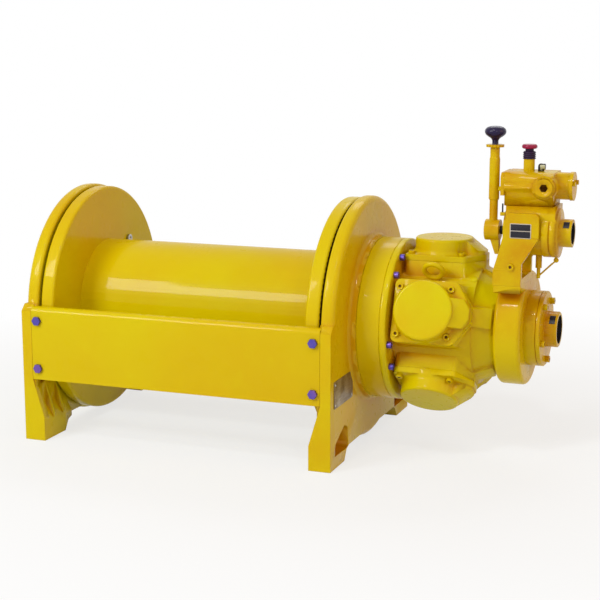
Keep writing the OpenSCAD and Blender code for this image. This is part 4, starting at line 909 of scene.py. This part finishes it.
slab = bmesh.new()
bmesh.ops.create_grid(slab, x_segments=1, y_segments=1, size=FLOOR_HALF)
bmesh.ops.translate(slab, verts=slab.verts, vec=(0, 0, floor_z))
floor_data = bpy.data.meshes.new("floor")
slab.to_mesh(floor_data)
slab.free()
floor = bpy.data.objects.new("floor", floor_data)
bpy.context.scene.collection.objects.link(floor)
floor_material, floor_shader, link = new_material("studio_floor", FLOOR_PALE)
floor_shader.inputs["Base Color"].default_value = FLOOR_PALE
floor_shader.inputs["Roughness"].default_value = 0.9
floor_shader.inputs["Specular IOR Level"].default_value = 0
new = floor_material.node_tree.nodes.new
floor_place, floor_reach = new("ShaderNodeTexCoord"), new("ShaderNodeVectorMath")
floor_reach.operation = "DISTANCE"
floor_reach.inputs[1].default_value = (FLOOR_MIDDLE_X, 0, floor_z)
link(floor_place.outputs["Object"], floor_reach.inputs[0])
whiteness = span(floor_material, floor_reach.outputs["Value"], WHITE_FROM, WHITE_FULL,
                 NEAR_WHITE, 1.0)
floor_share = new("ShaderNodeMath")
floor_share.operation = "MULTIPLY"
link(seen_or_mirrored(floor_material.node_tree), floor_share.inputs[0])
link(whiteness, floor_share.inputs[1])
floor_glow, floor_mix = new("ShaderNodeEmission"), new("ShaderNodeMixShader")
link(floor_share.outputs[0], floor_mix.inputs[0])
link(floor_shader.outputs[0], floor_mix.inputs[1])
link(floor_glow.outputs[0], floor_mix.inputs[2])
link(floor_mix.outputs[0], floor_material.node_tree.nodes["Material Output"].inputs["Surface"])
floor_data.materials.append(floor_material)

world = bpy.data.worlds.new("studio")
bpy.context.scene.world = world
world.use_nodes = True
sky = world.node_tree.nodes["Background"]
sky_seen = seen_or_mirrored(world.node_tree)
sky_level = world.node_tree.nodes.new("ShaderNodeMapRange")
sky_level.inputs["To Min"].default_value = FILL_LEVEL
sky_level.inputs["To Max"].default_value = 1.0
sky_tint = world.node_tree.nodes.new("ShaderNodeMix")
sky_tint.data_type = "RGBA"
sky_tint.inputs[6].default_value = FILL_WARM
sky_tint.inputs[7].default_value = (1, 1, 1, 1)
world.node_tree.links.new(sky_seen, sky_level.inputs["Value"])
world.node_tree.links.new(sky_seen, sky_tint.inputs[0])
world.node_tree.links.new(sky_level.outputs["Result"], sky.inputs["Strength"])
world.node_tree.links.new(sky_tint.outputs[2], sky.inputs["Color"])

aim = Vector((0.17394, 0.0, 0.27922))


def add_lamp(name, place, width, height, watts, colour=(1, 1, 1)):
    """A square-edged soft lamp at that place, turned to the middle of the winch."""
    lamp_data = bpy.data.lights.new(name, "AREA")
    lamp_data.shape = "RECTANGLE"
    lamp_data.size, lamp_data.size_y = width, height
    lamp_data.energy = watts
    lamp_data.color = colour
    lamp = bpy.data.objects.new(name, lamp_data)
    lamp.location = place
    lamp.rotation_euler = (aim - Vector(place)).to_track_quat("-Z", "Y").to_euler()
    bpy.context.scene.collection.objects.link(lamp)


SIDE_WARM = (1.0, 0.52, 0.20)
add_lamp("key_lamp", (-1.5, -2.75, 2.15), 1.2, 1.05, 57)
add_lamp("side_lamp", (3.0, -0.5, 1.5), 1.2, 1.2, 13, SIDE_WARM)
add_lamp("back_lamp", (0.2, 2.4, 2.8), 2.0, 1.0, 22)
add_lamp("strip_lamp", (1.9, -2.4, 1.7), 0.2, 1.2, 8)
add_lamp("window_lamp", (0.15, -1.75, 2.7), 0.34, 0.34, 15)

CAMERA_PLACE = (1.2006, -2.7462, 0.8438)
CAMERA_LENS = 86.09
SENSOR_WIDTH = 36
camera_data = bpy.data.cameras.new("camera")
camera_data.sensor_width = SENSOR_WIDTH
camera_data.lens = CAMERA_LENS
camera_data.clip_end = 100
camera = bpy.data.objects.new("camera", camera_data)
camera.location = CAMERA_PLACE
camera.rotation_euler = (aim - camera.location).to_track_quat("-Z", "Y").to_euler()
bpy.context.scene.collection.objects.link(camera)
bpy.context.scene.camera = camera
bpy.context.scene.view_settings.view_transform = "Standard"
